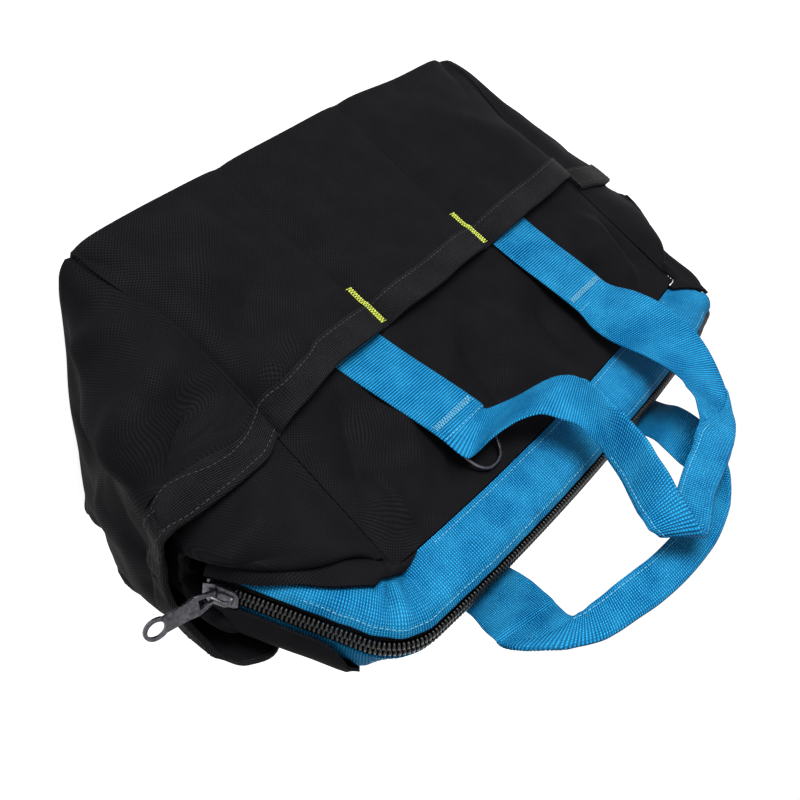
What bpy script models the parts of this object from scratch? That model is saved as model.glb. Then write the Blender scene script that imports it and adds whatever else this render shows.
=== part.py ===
"""Open-mouth tool bag in heavy cloth, with webbing handles, slip pockets and a coil zipper.

The bag stands on its base: +Z is up, +X is the end that the zipper closes at, -Y is the front.
The origin is the middle of the base's underside. Every wall is a patch of one of three surfaces:
the long wall, the bulging end panel and the strip that runs down from the zipper. A patch is
laid at its own height above that surface, so cloth, pockets, binding and webbing lie in layers.
"""
import math

import bmesh
import bpy
import numpy as np
from mathutils import Matrix, Vector

# Overall sizes, in metres
BASE_LENGTH = 0.320
BASE_DEPTH = 0.200
MOUTH_HEIGHT = 0.249
STRIP_DROP = 0.032
MOUTH_SAG = 0.0066
STRIP_SPREAD = 0.0175
END_REACH = 0.062
SEAM_LEAN = 0.010

# Cloth and board
CLOTH = 0.0016
CLOTH_GAP = 0.0003
BOARD_THICKNESS = 0.0025
BOARD_MARGIN = 0.0045

# Pockets and their binding
POCKET_HEIGHT_SHARE = 0.5576
POCKET_SLACK = 0.0080
POCKET_TURN_UP = 0.011
END_POCKET_SLACK = 0.0130
DIVIDER_SPACING = 0.106
DIVIDER_FLAT = 0.0021
BINDING_WIDTH = 0.015
BINDING_THICKNESS = 0.0008
EASED_SHARE = 0.7
TACK_LENGTH = 0.028
TACK_WIDTH = 0.0028
TACK_THICKNESS = 0.0005
TACK_ZIGZAGS = 7

# Mouth strip and zipper
COIL_WIDTH = 0.0096
COIL_THICKNESS = 0.0030
COIL_SPLIT = 0.0014
COIL_WAIST_SHARE = 0.72
COIL_PITCH = 0.0096
TAPE_THICKNESS = 0.0010
TAPE_SHOW = 0.0040
TAPE_DROP = 0.0016
TAPE_UNDERLAP = 0.0110
BAND_THICKNESS = 0.0014
CORNER_RADIUS = 0.0335
LEG_LENGTH_SHARE = 0.3825
LEG_LEAN = math.radians(16.8)
STOP_LENGTH = 0.003

# Slider and pull tab
SLIDER_LENGTH = 0.019
SLIDER_WIDTH = 0.0136
SLIDER_NECK = 0.0120
LOWER_PLATE_WIDTH = 0.0076
PLATE_THICKNESS = 0.0013
SLIDER_CLEARANCE = 0.0003
POST_THICKNESS = 0.0007
POST_LENGTH = 0.0030
BRIDGE_LENGTH = 0.0125
BRIDGE_WIDTH = 0.0036
BRIDGE_HEIGHT = 0.0042
BRIDGE_THICKNESS = 0.0012
TAB_LENGTH = 0.044
TAB_WIDTH = 0.0092
TAB_THICKNESS = 0.0015
TAB_PIN = 0.0016
TAB_SLOT = 0.0098
TAB_RING_LENGTH = 0.0150
TAB_RING_WIDTH = 0.0122
TAB_RING_WALL = 0.0021
TAB_DROOP = math.radians(30.0)

# Webbing handles
WEBBING_WIDTH = 0.038
WEBBING_THICKNESS = 0.0016
GRIP_WIDTH = 0.021
GRIP_THICKNESS = 0.0042
STRAP_SPACING = 0.152
STRAP_TUCK = 0.009
TACK_LINE_SHARE = 0.8571
STRAP_RISE = 0.0042
HANDLE_REACH = 0.130
HANDLE_ROOT_RUN = 0.0040
HANDLE_RINGS = 52
ROOT_RINGS = 3

# Ring under the front handle
RING_WIRE = 0.0021
RING_WIDTH = 0.030
RING_DROP = 0.023
RING_TAB_WIDTH = 0.024
RING_TAB_THICKNESS = 0.0006
RING_TAB_TAIL = 0.012
RING_CLEARANCE = 0.0003

# Shares of the half length that the long wall's side seams follow from base to mouth
SEAM_HEIGHT_SHARES = (0.0, 0.28, 0.55, 0.78, 1.0)
SEAM_REACH_SHARES = (1.0, 0.955, 0.965, 0.975, 0.985)

# Rows of the end panel from base to mouth: share of the reach, of the half depth and of the height,
# at five places from the middle fold to the side seam. The seam itself is taken from the long wall.
END_PLACE_SHARES = (0.0, 0.30, 0.62, 0.85)
END_ROW_SHARES = (0.0, 0.28, 0.60, 0.78, 0.89, 1.0)
END_FULLNESS_SHARES = {+1: 1.0, -1: 0.7}
END_NET_SHARES = (
    ((0.04, 0.00, 0.000), (0.04, 0.32, 0.000), (0.04, 0.66, 0.000), (0.02, 0.87, 0.000)),
    ((0.49, 0.00, 0.255), (0.51, 0.30, 0.255), (0.47, 0.60, 0.262), (0.16, 0.72, 0.268)),
    ((0.78, 0.00, 0.530), (0.81, 0.12, 0.535), (0.79, 0.25, 0.565), (0.36, 0.40, 0.590)),
    ((0.85, 0.00, 0.555), (0.86, 0.15, 0.572), (0.78, 0.27, 0.690), (0.30, 0.345, 0.735)),
    ((0.85, 0.00, 0.562), (0.76, 0.205, 0.580), (0.53, 0.225, 0.780), (0.16, 0.290, 0.865)),
    ((0.82, 0.00, 0.566), (0.44, 0.215, 0.575), (0.19, 0.225, 0.765), (0.03, 0.226, 0.895)),
)

# Front handle from the right-hand root to the left: share of the half spacing along X, shares of
# the reach along Y and Z from the tack line, the way across the webbing, and how far it is folded
FRONT_HANDLE_SHARES = (
    (0.79, -0.036, 0.090, (1.00, 0.00, 0.05), 0.0),
    (0.57, -0.085, 0.145, (0.85, -0.36, 0.36), 0.0),
    (0.35, -0.112, 0.205, (0.84, -0.22, 0.48), 0.0),
    (0.19, -0.125, 0.290, (0.88, 0.05, 0.46), 0.1),
    (0.18, -0.122, 0.400, (0.86, 0.25, 0.42), 0.35),
    (0.24, -0.125, 0.520, (0.85, 0.45, 0.05), 0.75),
    (0.31, -0.122, 0.620, (0.77, 0.50, -0.30), 1.0),
    (0.43, -0.122, 0.720, (0.72, 0.40, -0.50), 1.0),
    (0.61, -0.128, 0.830, (0.66, 0.28, -0.68), 1.0),
    (0.79, -0.135, 0.925, (0.55, 0.15, -0.80), 1.0),
    (0.82, -0.108, 0.955, (0.40, 0.00, -0.90), 1.0),
    (0.62, -0.085, 0.960, (0.20, -0.20, -0.94), 1.0),
    (0.20, -0.070, 0.925, (0.18, -0.28, -0.94), 1.0),
    (-0.08, -0.072, 0.895, (0.18, -0.30, -0.94), 1.0),
    (-0.26, -0.085, 0.875, (0.30, -0.24, -0.92), 1.0),
    (-0.42, -0.100, 0.840, (0.35, -0.32, -0.86), 1.0),
    (-0.62, -0.112, 0.750, (0.72, -0.30, -0.55), 0.9),
    (-0.79, -0.118, 0.630, (0.96, 0.00, -0.15), 0.6),
    (-0.90, -0.118, 0.530, (0.99, 0.08, 0.04), 0.3),
    (-1.01, -0.110, 0.340, (0.99, 0.05, 0.08), 0.0),
    (-1.10, -0.040, 0.160, (1.00, 0.00, 0.00), 0.0),
)

# Back handle from the right-hand root to the left, in the same terms
BACK_HANDLE_SHARES = (
    (1.15, 0.006, 0.130, (1.00, 0.00, -0.05), 0.0),
    (1.34, -0.062, 0.290, (1.00, 0.00, -0.08), 0.0),
    (1.52, -0.128, 0.440, (0.99, 0.04, -0.10), 0.0),
    (1.61, -0.195, 0.555, (0.96, 0.14, -0.18), 0.0),
    (1.71, -0.270, 0.660, (0.92, 0.28, -0.24), 0.1),
    (1.75, -0.335, 0.765, (0.95, 0.22, -0.05), 0.4),
    (1.66, -0.380, 0.862, (0.72, 0.50, 0.42), 0.8),
    (1.47, -0.412, 0.930, (0.10, 0.74, 0.66), 1.0),
    (1.18, -0.425, 0.975, (-0.10, 0.72, 0.68), 1.0),
    (0.97, -0.430, 1.000, (-0.18, 0.66, 0.72), 1.0),
    (0.72, -0.432, 1.012, (-0.28, 0.50, 0.82), 1.0),
    (0.45, -0.430, 1.012, (-0.38, 0.35, 0.85), 1.0),
    (0.20, -0.420, 1.000, (-0.50, 0.12, 0.84), 1.0),
    (-0.06, -0.395, 0.960, (-0.60, -0.15, 0.78), 1.0),
    (-0.30, -0.360, 0.890, (-0.75, -0.25, 0.60), 0.8),
    (-0.50, -0.310, 0.750, (-0.90, -0.35, 0.15), 0.3),
    (-0.65, -0.250, 0.610, (-0.96, -0.15, -0.10), 0.0),
    (-0.80, -0.150, 0.470, (-0.99, 0.00, -0.08), 0.0),
    (-0.95, -0.062, 0.290, (-1.00, 0.00, 0.00), 0.0),
    (-1.04, 0.006, 0.130, (-1.00, 0.00, 0.00), 0.0),
)
FRONT_ANCHOR_SHARES = {+1: (1.03, 0.84), -1: (-1.03, -1.12)}
BACK_ANCHOR_SHARES = {+1: (1.04, 1.07), -1: (-1.04, -1.08)}

HALF_LENGTH = BASE_LENGTH / 2
HALF_DEPTH = BASE_DEPTH / 2
WALL_HEIGHT = MOUTH_HEIGHT - STRIP_DROP
POCKET_HEIGHT = WALL_HEIGHT * POCKET_HEIGHT_SHARE
TACK_LINE_HEIGHT = WALL_HEIGHT * TACK_LINE_SHARE
LEG_LENGTH = WALL_HEIGHT * LEG_LENGTH_SHARE
FLOOR_TOP = CLOTH + CLOTH_GAP
RIDGE_STEP = 0.0180
CORNER_STEP = 0.007


# Numbers and curves

def blend(low, high, share):
    """Value part of the way from low to high."""
    return low + (high - low) * share


def ease(share):
    """Smooth rise from 0 to 1."""
    share = min(max(share, 0.0), 1.0)
    return share * share * (3 - 2 * share)


def smooth_table(places, values, wanted):
    """Values read at the wanted places from a smooth curve through a table of rows."""
    places = np.asarray(places, float)
    values = np.asarray(values, float)
    slopes = np.gradient(values, places, axis=0)
    wanted = np.clip(np.asarray(wanted, float), places[0], places[-1])
    left = np.clip(np.searchsorted(places, wanted, side="right") - 1, 0, len(places) - 2)
    width = places[left + 1] - places[left]
    share = (wanted - places[left]) / width
    shape = share.shape + (1,) * (values.ndim - 1)
    s = share.reshape(shape)
    w = width.reshape(shape)
    start = (2 * s ** 3 - 3 * s ** 2 + 1) * values[left]
    start_slope = (s ** 3 - 2 * s ** 2 + s) * w * slopes[left]
    end = (-2 * s ** 3 + 3 * s ** 2) * values[left + 1]
    end_slope = (s ** 3 - s ** 2) * w * slopes[left + 1]
    return start + start_slope + end + end_slope


def along(points, count):
    """A smooth curve through points, read at evenly spaced places along its length."""
    points = np.asarray(points, float)
    steps = np.linalg.norm(np.diff(points, axis=0)[:, :3], axis=1)
    places = np.concatenate([[0.0], np.cumsum(steps)])
    return smooth_table(places, points, np.linspace(0.0, places[-1], count))


# The three surfaces

def seam_x(end, height_share):
    """X of a side seam. The upper part leans towards the far end, as the soft bag does."""
    reach = smooth_table(SEAM_HEIGHT_SHARES, SEAM_REACH_SHARES, [height_share])[0]
    lean = SEAM_LEAN * ease(height_share / SEAM_HEIGHT_SHARES[2])
    return end * HALF_LENGTH * reach - lean * (1.0 if end < 0 else 0.35)


def wall_point(side, across, height_share):
    """Point on the long wall: across runs from -1 at the left seam to +1 at the right."""
    x = blend(seam_x(-1, height_share), seam_x(+1, height_share), (across + 1) / 2)
    y = side * blend(HALF_DEPTH, STRIP_SPREAD, height_share)
    top = WALL_HEIGHT - MOUTH_SAG * across ** 2
    return (x, y, blend(FLOOR_TOP, top, height_share))


def wall_at(side, x, z):
    """Point on the long wall at a given x and height."""
    height_share = (z - FLOOR_TOP) / (WALL_HEIGHT - FLOOR_TOP)
    left = seam_x(-1, height_share)
    right = seam_x(+1, height_share)
    across = 2 * (x - left) / (right - left) - 1
    top = WALL_HEIGHT - MOUTH_SAG * across ** 2
    return wall_point(side, across, (z - FLOOR_TOP) / (top - FLOOR_TOP))


def end_net(end):
    """Control points of an end panel: rows from base to mouth, columns from back to front seam."""
    rows = []
    for row_share, row in zip(END_ROW_SHARES, END_NET_SHARES):
        half = []
        lean = SEAM_LEAN * ease(row_share / SEAM_HEIGHT_SHARES[2]) * (1.0 if end < 0 else 0.0)
        for reach_share, depth_share, rise_share in row:
            x = end * (HALF_LENGTH + reach_share * END_REACH) - lean
            half.append((x, depth_share * HALF_DEPTH, FLOOR_TOP + rise_share * WALL_HEIGHT))
        seam = wall_point(+1, end, row_share)
        half.append(seam)
        back = [np.array(point) for point in half]
        front = [point * np.array((1, -1, 1)) for point in back[:0:-1]]
        rows.append(front + back)
    return np.array(rows)


def end_grid(end, places, row_places):
    """Points of an end panel on a grid: places run from -1 at the front seam to +1 at the back."""
    net = end_net(end)
    half = END_PLACE_SHARES + (1.0,)
    column_places = [-share for share in half[:0:-1]] + list(half)
    rows = smooth_table(END_ROW_SHARES, net, row_places)
    return smooth_table(column_places, np.swapaxes(rows, 0, 1), places)


def ridge_half(end):
    """Half of the zipper's line, from mid-length down to its foot: point and outward direction."""
    edge_x = abs(seam_x(end, 1.0)) + CORNER_RADIUS * math.sin(LEG_LEAN) * 0.7
    count = int(round(edge_x / RIDGE_STEP))
    stations = []
    for index in range(count + 1):
        x = edge_x * index / count
        slope = -2 * MOUTH_SAG * x / edge_x ** 2
        angle = math.atan(slope)
        stations.append(((x, MOUTH_HEIGHT - MOUTH_SAG * (x / edge_x) ** 2), angle, x / edge_x, 0.0))
    (x, z), angle = stations[-1][:2]
    turn = (LEG_LEAN - math.pi / 2) - angle
    centre = (x - CORNER_RADIUS * math.sin(-angle), z - CORNER_RADIUS * math.cos(angle))
    corner_count = max(int(round(CORNER_RADIUS * abs(turn) / CORNER_STEP)), 3)
    for index in range(1, corner_count + 1):
        heading = angle + turn * index / corner_count
        x = centre[0] - CORNER_RADIUS * math.sin(heading)
        z = centre[1] + CORNER_RADIUS * math.cos(heading)
        stations.append(((x, z), heading, 1.0, index / corner_count))
    leg_count = int(round(LEG_LENGTH / RIDGE_STEP))
    heading = LEG_LEAN - math.pi / 2
    for index in range(1, leg_count + 1):
        distance = LEG_LENGTH * index / leg_count
        point = (x + distance * math.cos(heading), z + distance * math.sin(heading))
        stations.append((point, heading, 1.0, 1.0 + index / leg_count))
    rows = []
    for (x, z), heading, top_share, end_share in stations:
        outward = np.array((-math.sin(heading) * end, 0.0, math.cos(heading)))
        rows.append((np.array((end * x, 0.0, z)), outward, top_share, end_share))
    return rows


def ridge_stations():
    """The whole zipper line from the left foot over the mouth to the right foot."""
    left = ridge_half(-1)
    right = ridge_half(+1)
    return [(-1,) + row for row in left[:0:-1]] + [(+1,) + row for row in right]


def strip_edge(side, end, top_share, end_share):
    """Outer edge of the mouth strip, level with the top of the wall or of the end panel."""
    corner = np.array(wall_point(side, end, 1.0))
    if end_share == 0.0:
        return np.array(wall_point(side, end * top_share, 1.0))
    foot_row = ridge_half(end)[-1]
    foot = foot_row[0] - foot_row[1] * STRIP_DROP + np.array((0.0, side * STRIP_SPREAD, 0.0))
    corner_run = 0.12
    share = corner_run * end_share if end_share < 1.0 else blend(corner_run, 1.0, end_share - 1.0)
    return corner + (foot - corner) * share


def strip_grid(side, width_places):
    """Points of the mouth strip: along the zipper, and from the coil's edge (0) to the strip's."""
    coil_edge = COIL_WIDTH / 2 + 2 * CLOTH_GAP
    rows = []
    for end, point, outward, top_share, end_share in ridge_stations():
        start = point + np.array((0.0, side * coil_edge, 0.0)) - outward * TAPE_THICKNESS
        shoulder = start + np.array((0.0, side * TAPE_SHOW, 0.0)) - outward * TAPE_DROP
        outer = strip_edge(side, end, top_share, end_share)
        bend = shoulder + np.array((0.0, side * TAPE_SHOW, 0.0)) - outward * TAPE_DROP * 2
        curve = [start, shoulder, bend, blend(bend, outer, 0.5), outer]
        rows.append(smooth_table((0.0, 0.14, 0.28, 0.62, 1.0), curve, width_places))
    return np.array(rows)


# Solids

def material(name, colour, roughness, metallic=0.0):
    """A plain surface finish."""
    finish = bpy.data.materials.new(name)
    finish.use_nodes = True
    shader = finish.node_tree.nodes["Principled BSDF"]
    shader.inputs["Base Color"].default_value = (*colour, 1.0)
    shader.inputs["Roughness"].default_value = roughness
    shader.inputs["Metallic"].default_value = metallic
    finish.diffuse_color = (*colour, 1.0)
    return finish


def add_object(name, mesh, finish, smooth=True, origin=(0.0, 0.0, 0.0)):
    """An object with its mesh moved so that the object's origin lies on the given point."""
    mesh.transform(Matrix.Translation(-Vector(origin)))
    mesh.materials.append(finish)
    if smooth:
        mesh.shade_smooth()
        mesh.set_sharp_from_angle(angle=math.radians(40))
    item = bpy.data.objects.new(name, mesh)
    item.location = origin
    bpy.context.scene.collection.objects.link(item)
    return item


def mesh_from(points, faces):
    """A mesh with its doubles merged and its faces turned outward."""
    mesh = bpy.data.meshes.new("shape")
    mesh.from_pydata([tuple(map(float, point)) for point in points], [], faces)
    work = bmesh.new()
    work.from_mesh(mesh)
    bmesh.ops.recalc_face_normals(work, faces=work.faces)
    work.to_mesh(mesh)
    work.free()
    return mesh


def grid_normals(grid, flip):
    """Unit normals of a grid of points."""
    first = np.gradient(grid, axis=0)
    second = np.gradient(grid, axis=1)
    normals = np.cross(first, second) * flip
    return normals / np.linalg.norm(normals, axis=2, keepdims=True)


def sheet(grid, inner, outer, flip=1.0):
    """A closed sheet between two heights above a grid of points."""
    rows, columns = grid.shape[:2]
    normals = grid_normals(grid, flip)
    inner = np.broadcast_to(np.asarray(inner, float), (rows, columns))[..., None]
    outer = np.broadcast_to(np.asarray(outer, float), (rows, columns))[..., None]
    layers = [(grid + normals * level).reshape(-1, 3) for level in (outer, inner)]
    points = np.concatenate(layers)
    below = rows * columns
    faces = []
    for i in range(rows - 1):
        for j in range(columns - 1):
            a = i * columns + j
            for corners in ((a, a + columns, a + columns + 1), (a, a + columns + 1, a + 1)):
                faces.append(corners)
                faces.append(tuple(below + corner for corner in reversed(corners)))
    rim = [i * columns for i in range(rows)]
    rim += [(rows - 1) * columns + j for j in range(1, columns)]
    rim += [i * columns + columns - 1 for i in range(rows - 2, -1, -1)]
    rim += [j for j in range(columns - 2, 0, -1)]
    for first, second in zip(rim, rim[1:] + rim[:1]):
        faces.append((first, first + below, second + below, second))
    return mesh_from(points, faces)


def box_mesh(low, high):
    """A box between two corners."""
    mesh = bpy.data.meshes.new("box")
    work = bmesh.new()
    bmesh.ops.create_cube(work, size=1.0)
    centre = (Vector(low) + Vector(high)) / 2
    size = Vector(high) - Vector(low)
    for vertex in work.verts:
        vertex.co = centre + Vector(c * s for c, s in zip(vertex.co, size))
    work.to_mesh(mesh)
    work.free()
    return mesh


def swept(points, across, profile, closed=False, square=1.0):
    """A profile carried along points. Each profile point is (way across, way through).

    square is how far each ring is turned square to the path: 1 fully, 0 as its way across says.
    """
    points = np.asarray(points, float)
    across = np.asarray(across, float)
    count = len(points)
    if closed:
        tangents = np.roll(points, -1, axis=0) - np.roll(points, 1, axis=0)
    else:
        tangents = np.gradient(points, axis=0)
    tangents /= np.linalg.norm(tangents, axis=1, keepdims=True)
    slant = np.sum(across * tangents, axis=1) * square
    across = across - tangents * slant[:, None]
    across /= np.linalg.norm(across, axis=1, keepdims=True)
    through = unit(np.cross(tangents, across))
    profile = np.asarray(profile, float)
    if profile.ndim == 2:
        profile = np.broadcast_to(profile, (count,) + profile.shape)
    sides = profile.shape[1]
    rings = points[:, None] + across[:, None] * profile[:, :, :1] + through[:, None] * profile[:, :, 1:]
    faces = []
    for i in range(count if closed else count - 1):
        for j in range(sides):
            a = i * sides + j
            b = i * sides + (j + 1) % sides
            step = ((i + 1) % count - i) * sides
            faces.append((a, b, b + step, a + step))
    if not closed:
        faces.append(tuple(range(sides))[::-1])
        faces.append(tuple((count - 1) * sides + j for j in range(sides)))
    return mesh_from(rings.reshape(-1, 3), faces)


def round_profile(radius, sides):
    """A round profile for a sweep."""
    turns = [2 * math.pi * index / sides for index in range(sides)]
    return [(radius * math.cos(turn), radius * math.sin(turn)) for turn in turns]


def flat_profile(width, thickness):
    """A webbing profile with eased edges."""
    ease_in = thickness / 2
    w = width / 2
    t = thickness / 2
    return [(-w + ease_in, -t), (w - ease_in, -t), (w, 0.0), (w - ease_in, t), (-w + ease_in, t), (-w, 0.0)]


def fused(name, meshes):
    """One closed mesh made of overlapping meshes."""
    body = bpy.data.objects.new(name, meshes[0])
    bpy.context.scene.collection.objects.link(body)
    helpers = []
    for mesh in meshes[1:]:
        helper = bpy.data.objects.new(name + "_part", mesh)
        bpy.context.scene.collection.objects.link(helper)
        union = body.modifiers.new("union", "BOOLEAN")
        union.operation = "UNION"
        union.solver = "EXACT"
        union.object = helper
        helpers.append(helper)
    bpy.context.view_layer.update()
    evaluated = body.evaluated_get(bpy.context.evaluated_depsgraph_get())
    result = bpy.data.meshes.new_from_object(evaluated)
    for item in helpers + [body]:
        bpy.data.objects.remove(item)
    return result


# Cloth shell

def wall_sheet(side, x_shares, z_places, inner, outer):
    """A patch of the long wall between the seams: shares across, heights above the base."""
    grid = np.array([[wall_point(side, across, z) for z in z_places] for across in x_shares])
    return sheet(grid, inner, outer, flip=-side)


def make_base(black, board_finish):
    """Cloth bottom and the stiff board that lies on it."""
    low = (-HALF_LENGTH, -HALF_DEPTH, 0.0)
    high = (HALF_LENGTH, HALF_DEPTH, CLOTH)
    add_object("base_panel", box_mesh(low, high), black, smooth=False)
    low = (-HALF_LENGTH + BOARD_MARGIN, -HALF_DEPTH + BOARD_MARGIN, FLOOR_TOP)
    high = (HALF_LENGTH - BOARD_MARGIN, HALF_DEPTH - BOARD_MARGIN, FLOOR_TOP + BOARD_THICKNESS)
    add_object("base_board", box_mesh(low, high), board_finish, smooth=False)


def end_places():
    """Places across an end panel, closer together near the seams."""
    trim = 1 - 2 * CLOTH_GAP / HALF_DEPTH
    return np.sin(np.linspace(-1.0, 1.0, 17) * math.pi / 2) * trim


def end_pocket_rows():
    """Rows of an end pocket, with two of them under its binding."""
    mouth = END_ROW_SHARES[2]
    bound = mouth * BINDING_WIDTH / POCKET_HEIGHT
    return np.concatenate([np.linspace(0.0, mouth - bound, 5), [mouth - bound / 2, mouth]])


def make_walls(black):
    """The long walls and the end panels."""
    trim = 3 * CLOTH_GAP / WALL_HEIGHT
    side_trim = 2 * CLOTH_GAP / HALF_LENGTH
    shares = np.linspace(-1 + side_trim, 1 - side_trim, 9)
    heights = np.linspace(0.0, 1 - trim, 7)
    for side, name in ((-1, "front_panel"), (+1, "back_panel")):
        add_object(name, wall_sheet(side, shares, heights, 0.0, CLOTH), black)
    rows = np.concatenate([end_pocket_rows(), np.linspace(END_ROW_SHARES[2], 1 - 2 * trim, 7)[1:]])
    for end, name in ((+1, "end_panel_right"), (-1, "end_panel_left")):
        grid = end_grid(end, end_places(), rows)
        add_object(name, sheet(grid, 0.0, CLOTH, flip=end), black)


# Pockets

def pocket_edges():
    """Stitched edges of the long pockets: both seams and the two dividers."""
    half = seam_x(+1, POCKET_HEIGHT / WALL_HEIGHT)
    return (seam_x(-1, POCKET_HEIGHT / WALL_HEIGHT), -DIVIDER_SPACING / 2, DIVIDER_SPACING / 2, half)


def compartments():
    """Both sides of each compartment of a long pocket, inside the stitching."""
    left, first, second, right = pocket_edges()
    return ((left + CLOTH_GAP, first - DIVIDER_FLAT), (first + DIVIDER_FLAT, second - DIVIDER_FLAT),
            (second + DIVIDER_FLAT, right - CLOTH_GAP))


def compartment_shape(x):
    """How far a pocket may stand off at x: 0 at its stitched edges, 1 between them."""
    for low, high in compartments():
        if low <= x <= high:
            centre = (low + high) / 2
            return 1 - abs((x - centre) / ((high - low) / 2)) ** 10
    return 0.0


def pocket_rise(x):
    """How far the pocket's mouth turns up towards the right-hand seam."""
    first, last = pocket_edges()[2:]
    return POCKET_TURN_UP * max((x - first) / (last - first), 0.0) ** 3


def pocket_offset(x, height_share):
    """Height of a long pocket's inner face above the wall, at a share of the pocket's height."""
    slack = POCKET_SLACK * height_share ** 2
    return CLOTH + CLOTH_GAP + slack * compartment_shape(x)


def pocket_columns():
    """Places across a long pocket, closer together near its stitched edges."""
    steps = 5
    columns = []
    for low, high in compartments():
        for index in range(steps + 1):
            columns.append(blend(low, high, (math.sin(math.pi * (index / steps - 0.5)) + 1) / 2))
    return columns


def long_pocket_grid(side, heights):
    """Wall points under a long pocket, and each point's place across it."""
    edges = pocket_edges()
    grid = []
    offsets = []
    for x in pocket_columns():
        across = 2 * (x - edges[0]) / (edges[-1] - edges[0]) - 1
        column = heights + pocket_rise(x) * (heights / POCKET_HEIGHT) ** 2
        grid.append([wall_point(side, across, (z - FLOOR_TOP) / (WALL_HEIGHT - FLOOR_TOP)) for z in column])
        offsets.append([pocket_offset(x, z / POCKET_HEIGHT) for z in heights])
    return np.array(grid), np.array(offsets)


def binding_sheet(face, normals, cloth):
    """Tape folded over a pocket's edge: over its inner corner and down its outer face.

    face holds the pocket's outer face as rows of points that end at its mouth, and normals the
    way out of each.
    """
    over = CLOTH_GAP + BINDING_THICKNESS / 2
    edge = face[:, -1]
    out = normals[:, -1]
    down = unit(face[:, -2] - edge)
    path = [
        face[:, -3] + normals[:, -3] * over,
        face[:, -2] + normals[:, -2] * over,
        edge + out * over + down * over / 2,
        edge + out * over * EASED_SHARE - down * over * EASED_SHARE,
        edge - out * cloth / 2 - down * over,
        edge - out * cloth - down * over,
    ]
    grid = np.stack(path, axis=1)
    return sheet(grid, -BINDING_THICKNESS / 2, BINDING_THICKNESS / 2)


def unit(vectors):
    """Vectors brought to length one."""
    return vectors / np.linalg.norm(vectors, axis=-1, keepdims=True)


def add_pocket(name, grid, inner, flip, black, tape):
    """A pocket that stands off a wall by the inner heights, and the binding on its mouth."""
    add_object(name, sheet(grid, inner, inner + CLOTH, flip=flip), black)
    normals = grid_normals(grid, flip)
    face = grid + normals * (inner + CLOTH)[..., None]
    add_object(name + "_binding", binding_sheet(face, normals, CLOTH), tape)


def make_long_pockets(black, tape):
    """Pockets across the front and back, each stitched into three compartments."""
    bound = POCKET_HEIGHT - BINDING_WIDTH
    below = np.linspace(FLOOR_TOP, bound, 5)
    heights = np.concatenate([below, [bound + BINDING_WIDTH / 2, POCKET_HEIGHT]])
    for side, name in ((-1, "front_pocket"), (+1, "back_pocket")):
        grid, inner = long_pocket_grid(side, heights)
        add_pocket(name, grid, inner, -side, black, tape)


def end_pocket_inner(end, places, row_shares):
    """Height of an end pocket's inner face above the end panel."""
    table = []
    for place in places:
        fullness = (1 - abs(place) ** 3) * END_FULLNESS_SHARES[end]
        table.append([CLOTH + CLOTH_GAP + END_POCKET_SLACK * ease(share) * fullness for share in row_shares])
    return np.array(table)


def make_end_pockets(black, tape):
    """Gaping pockets on both ends."""
    rows = end_pocket_rows()
    for end, name in ((+1, "end_pocket_right"), (-1, "end_pocket_left")):
        inner = end_pocket_inner(end, end_places(), rows / rows[-1])
        add_pocket(name, end_grid(end, end_places(), rows), inner, end, black, tape)


def make_tacks(thread):
    """Zigzag bar tacks at the top of each stitched divider."""
    for side, side_name in ((-1, "front"), (+1, "back")):
        for end, end_name in ((+1, "right"), (-1, "left")):
            x = end * DIVIDER_SPACING / 2
            top = POCKET_HEIGHT - 2 * BINDING_THICKNESS
            count = 2 * TACK_ZIGZAGS + 1
            grid = []
            offsets = []
            for index in range(count):
                z = top - TACK_LENGTH * index / (count - 1)
                shift = TACK_WIDTH / 4 * (1 if index % 2 else -1)
                row = [wall_at(side, x + shift + edge * TACK_WIDTH / 4, z) for edge in (-1, 1)]
                bound = ease((z - (POCKET_HEIGHT - BINDING_WIDTH - 2 * TACK_WIDTH)) / TACK_WIDTH)
                lift = CLOTH + CLOTH_GAP + CLOTH + CLOTH_GAP + bound * (BINDING_THICKNESS + CLOTH_GAP)
                grid.append(row)
                offsets.append([lift, lift])
            lift = np.array(offsets)
            flat = sheet(np.array(grid), lift, lift + TACK_THICKNESS, flip=-side)
            add_object(side_name + "_pocket_tack_" + end_name, flat, thread)


# Zipper and mouth strip

def make_strip(blue, tape):
    """Webbing band along the mouth, and the zipper tape sewn under it."""
    under = 0.14 + TAPE_UNDERLAP / STRIP_DROP
    places = np.array([0.17, 0.28, under, 1.0])
    for side, name in ((-1, "front"), (+1, "back")):
        band = strip_grid(side, places)
        add_object("mouth_band_" + name, sheet(band, 0.0, BAND_THICKNESS, flip=side), blue)
        ribbon = strip_grid(side, np.array([0.0, 0.28, under]))
        low = -CLOTH_GAP - TAPE_THICKNESS
        add_object("zipper_tape_" + name, sheet(ribbon, low, -CLOTH_GAP, flip=side), tape)


def dense_ridge():
    """The zipper line at an even, fine step: points and outward directions."""
    stations = ridge_stations()
    points = np.array([row[1] for row in stations])
    outward = np.array([row[2] for row in stations])
    steps = np.linalg.norm(np.diff(points, axis=0), axis=1)
    places = np.concatenate([[0.0], np.cumsum(steps)])
    return places, points, outward


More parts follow.
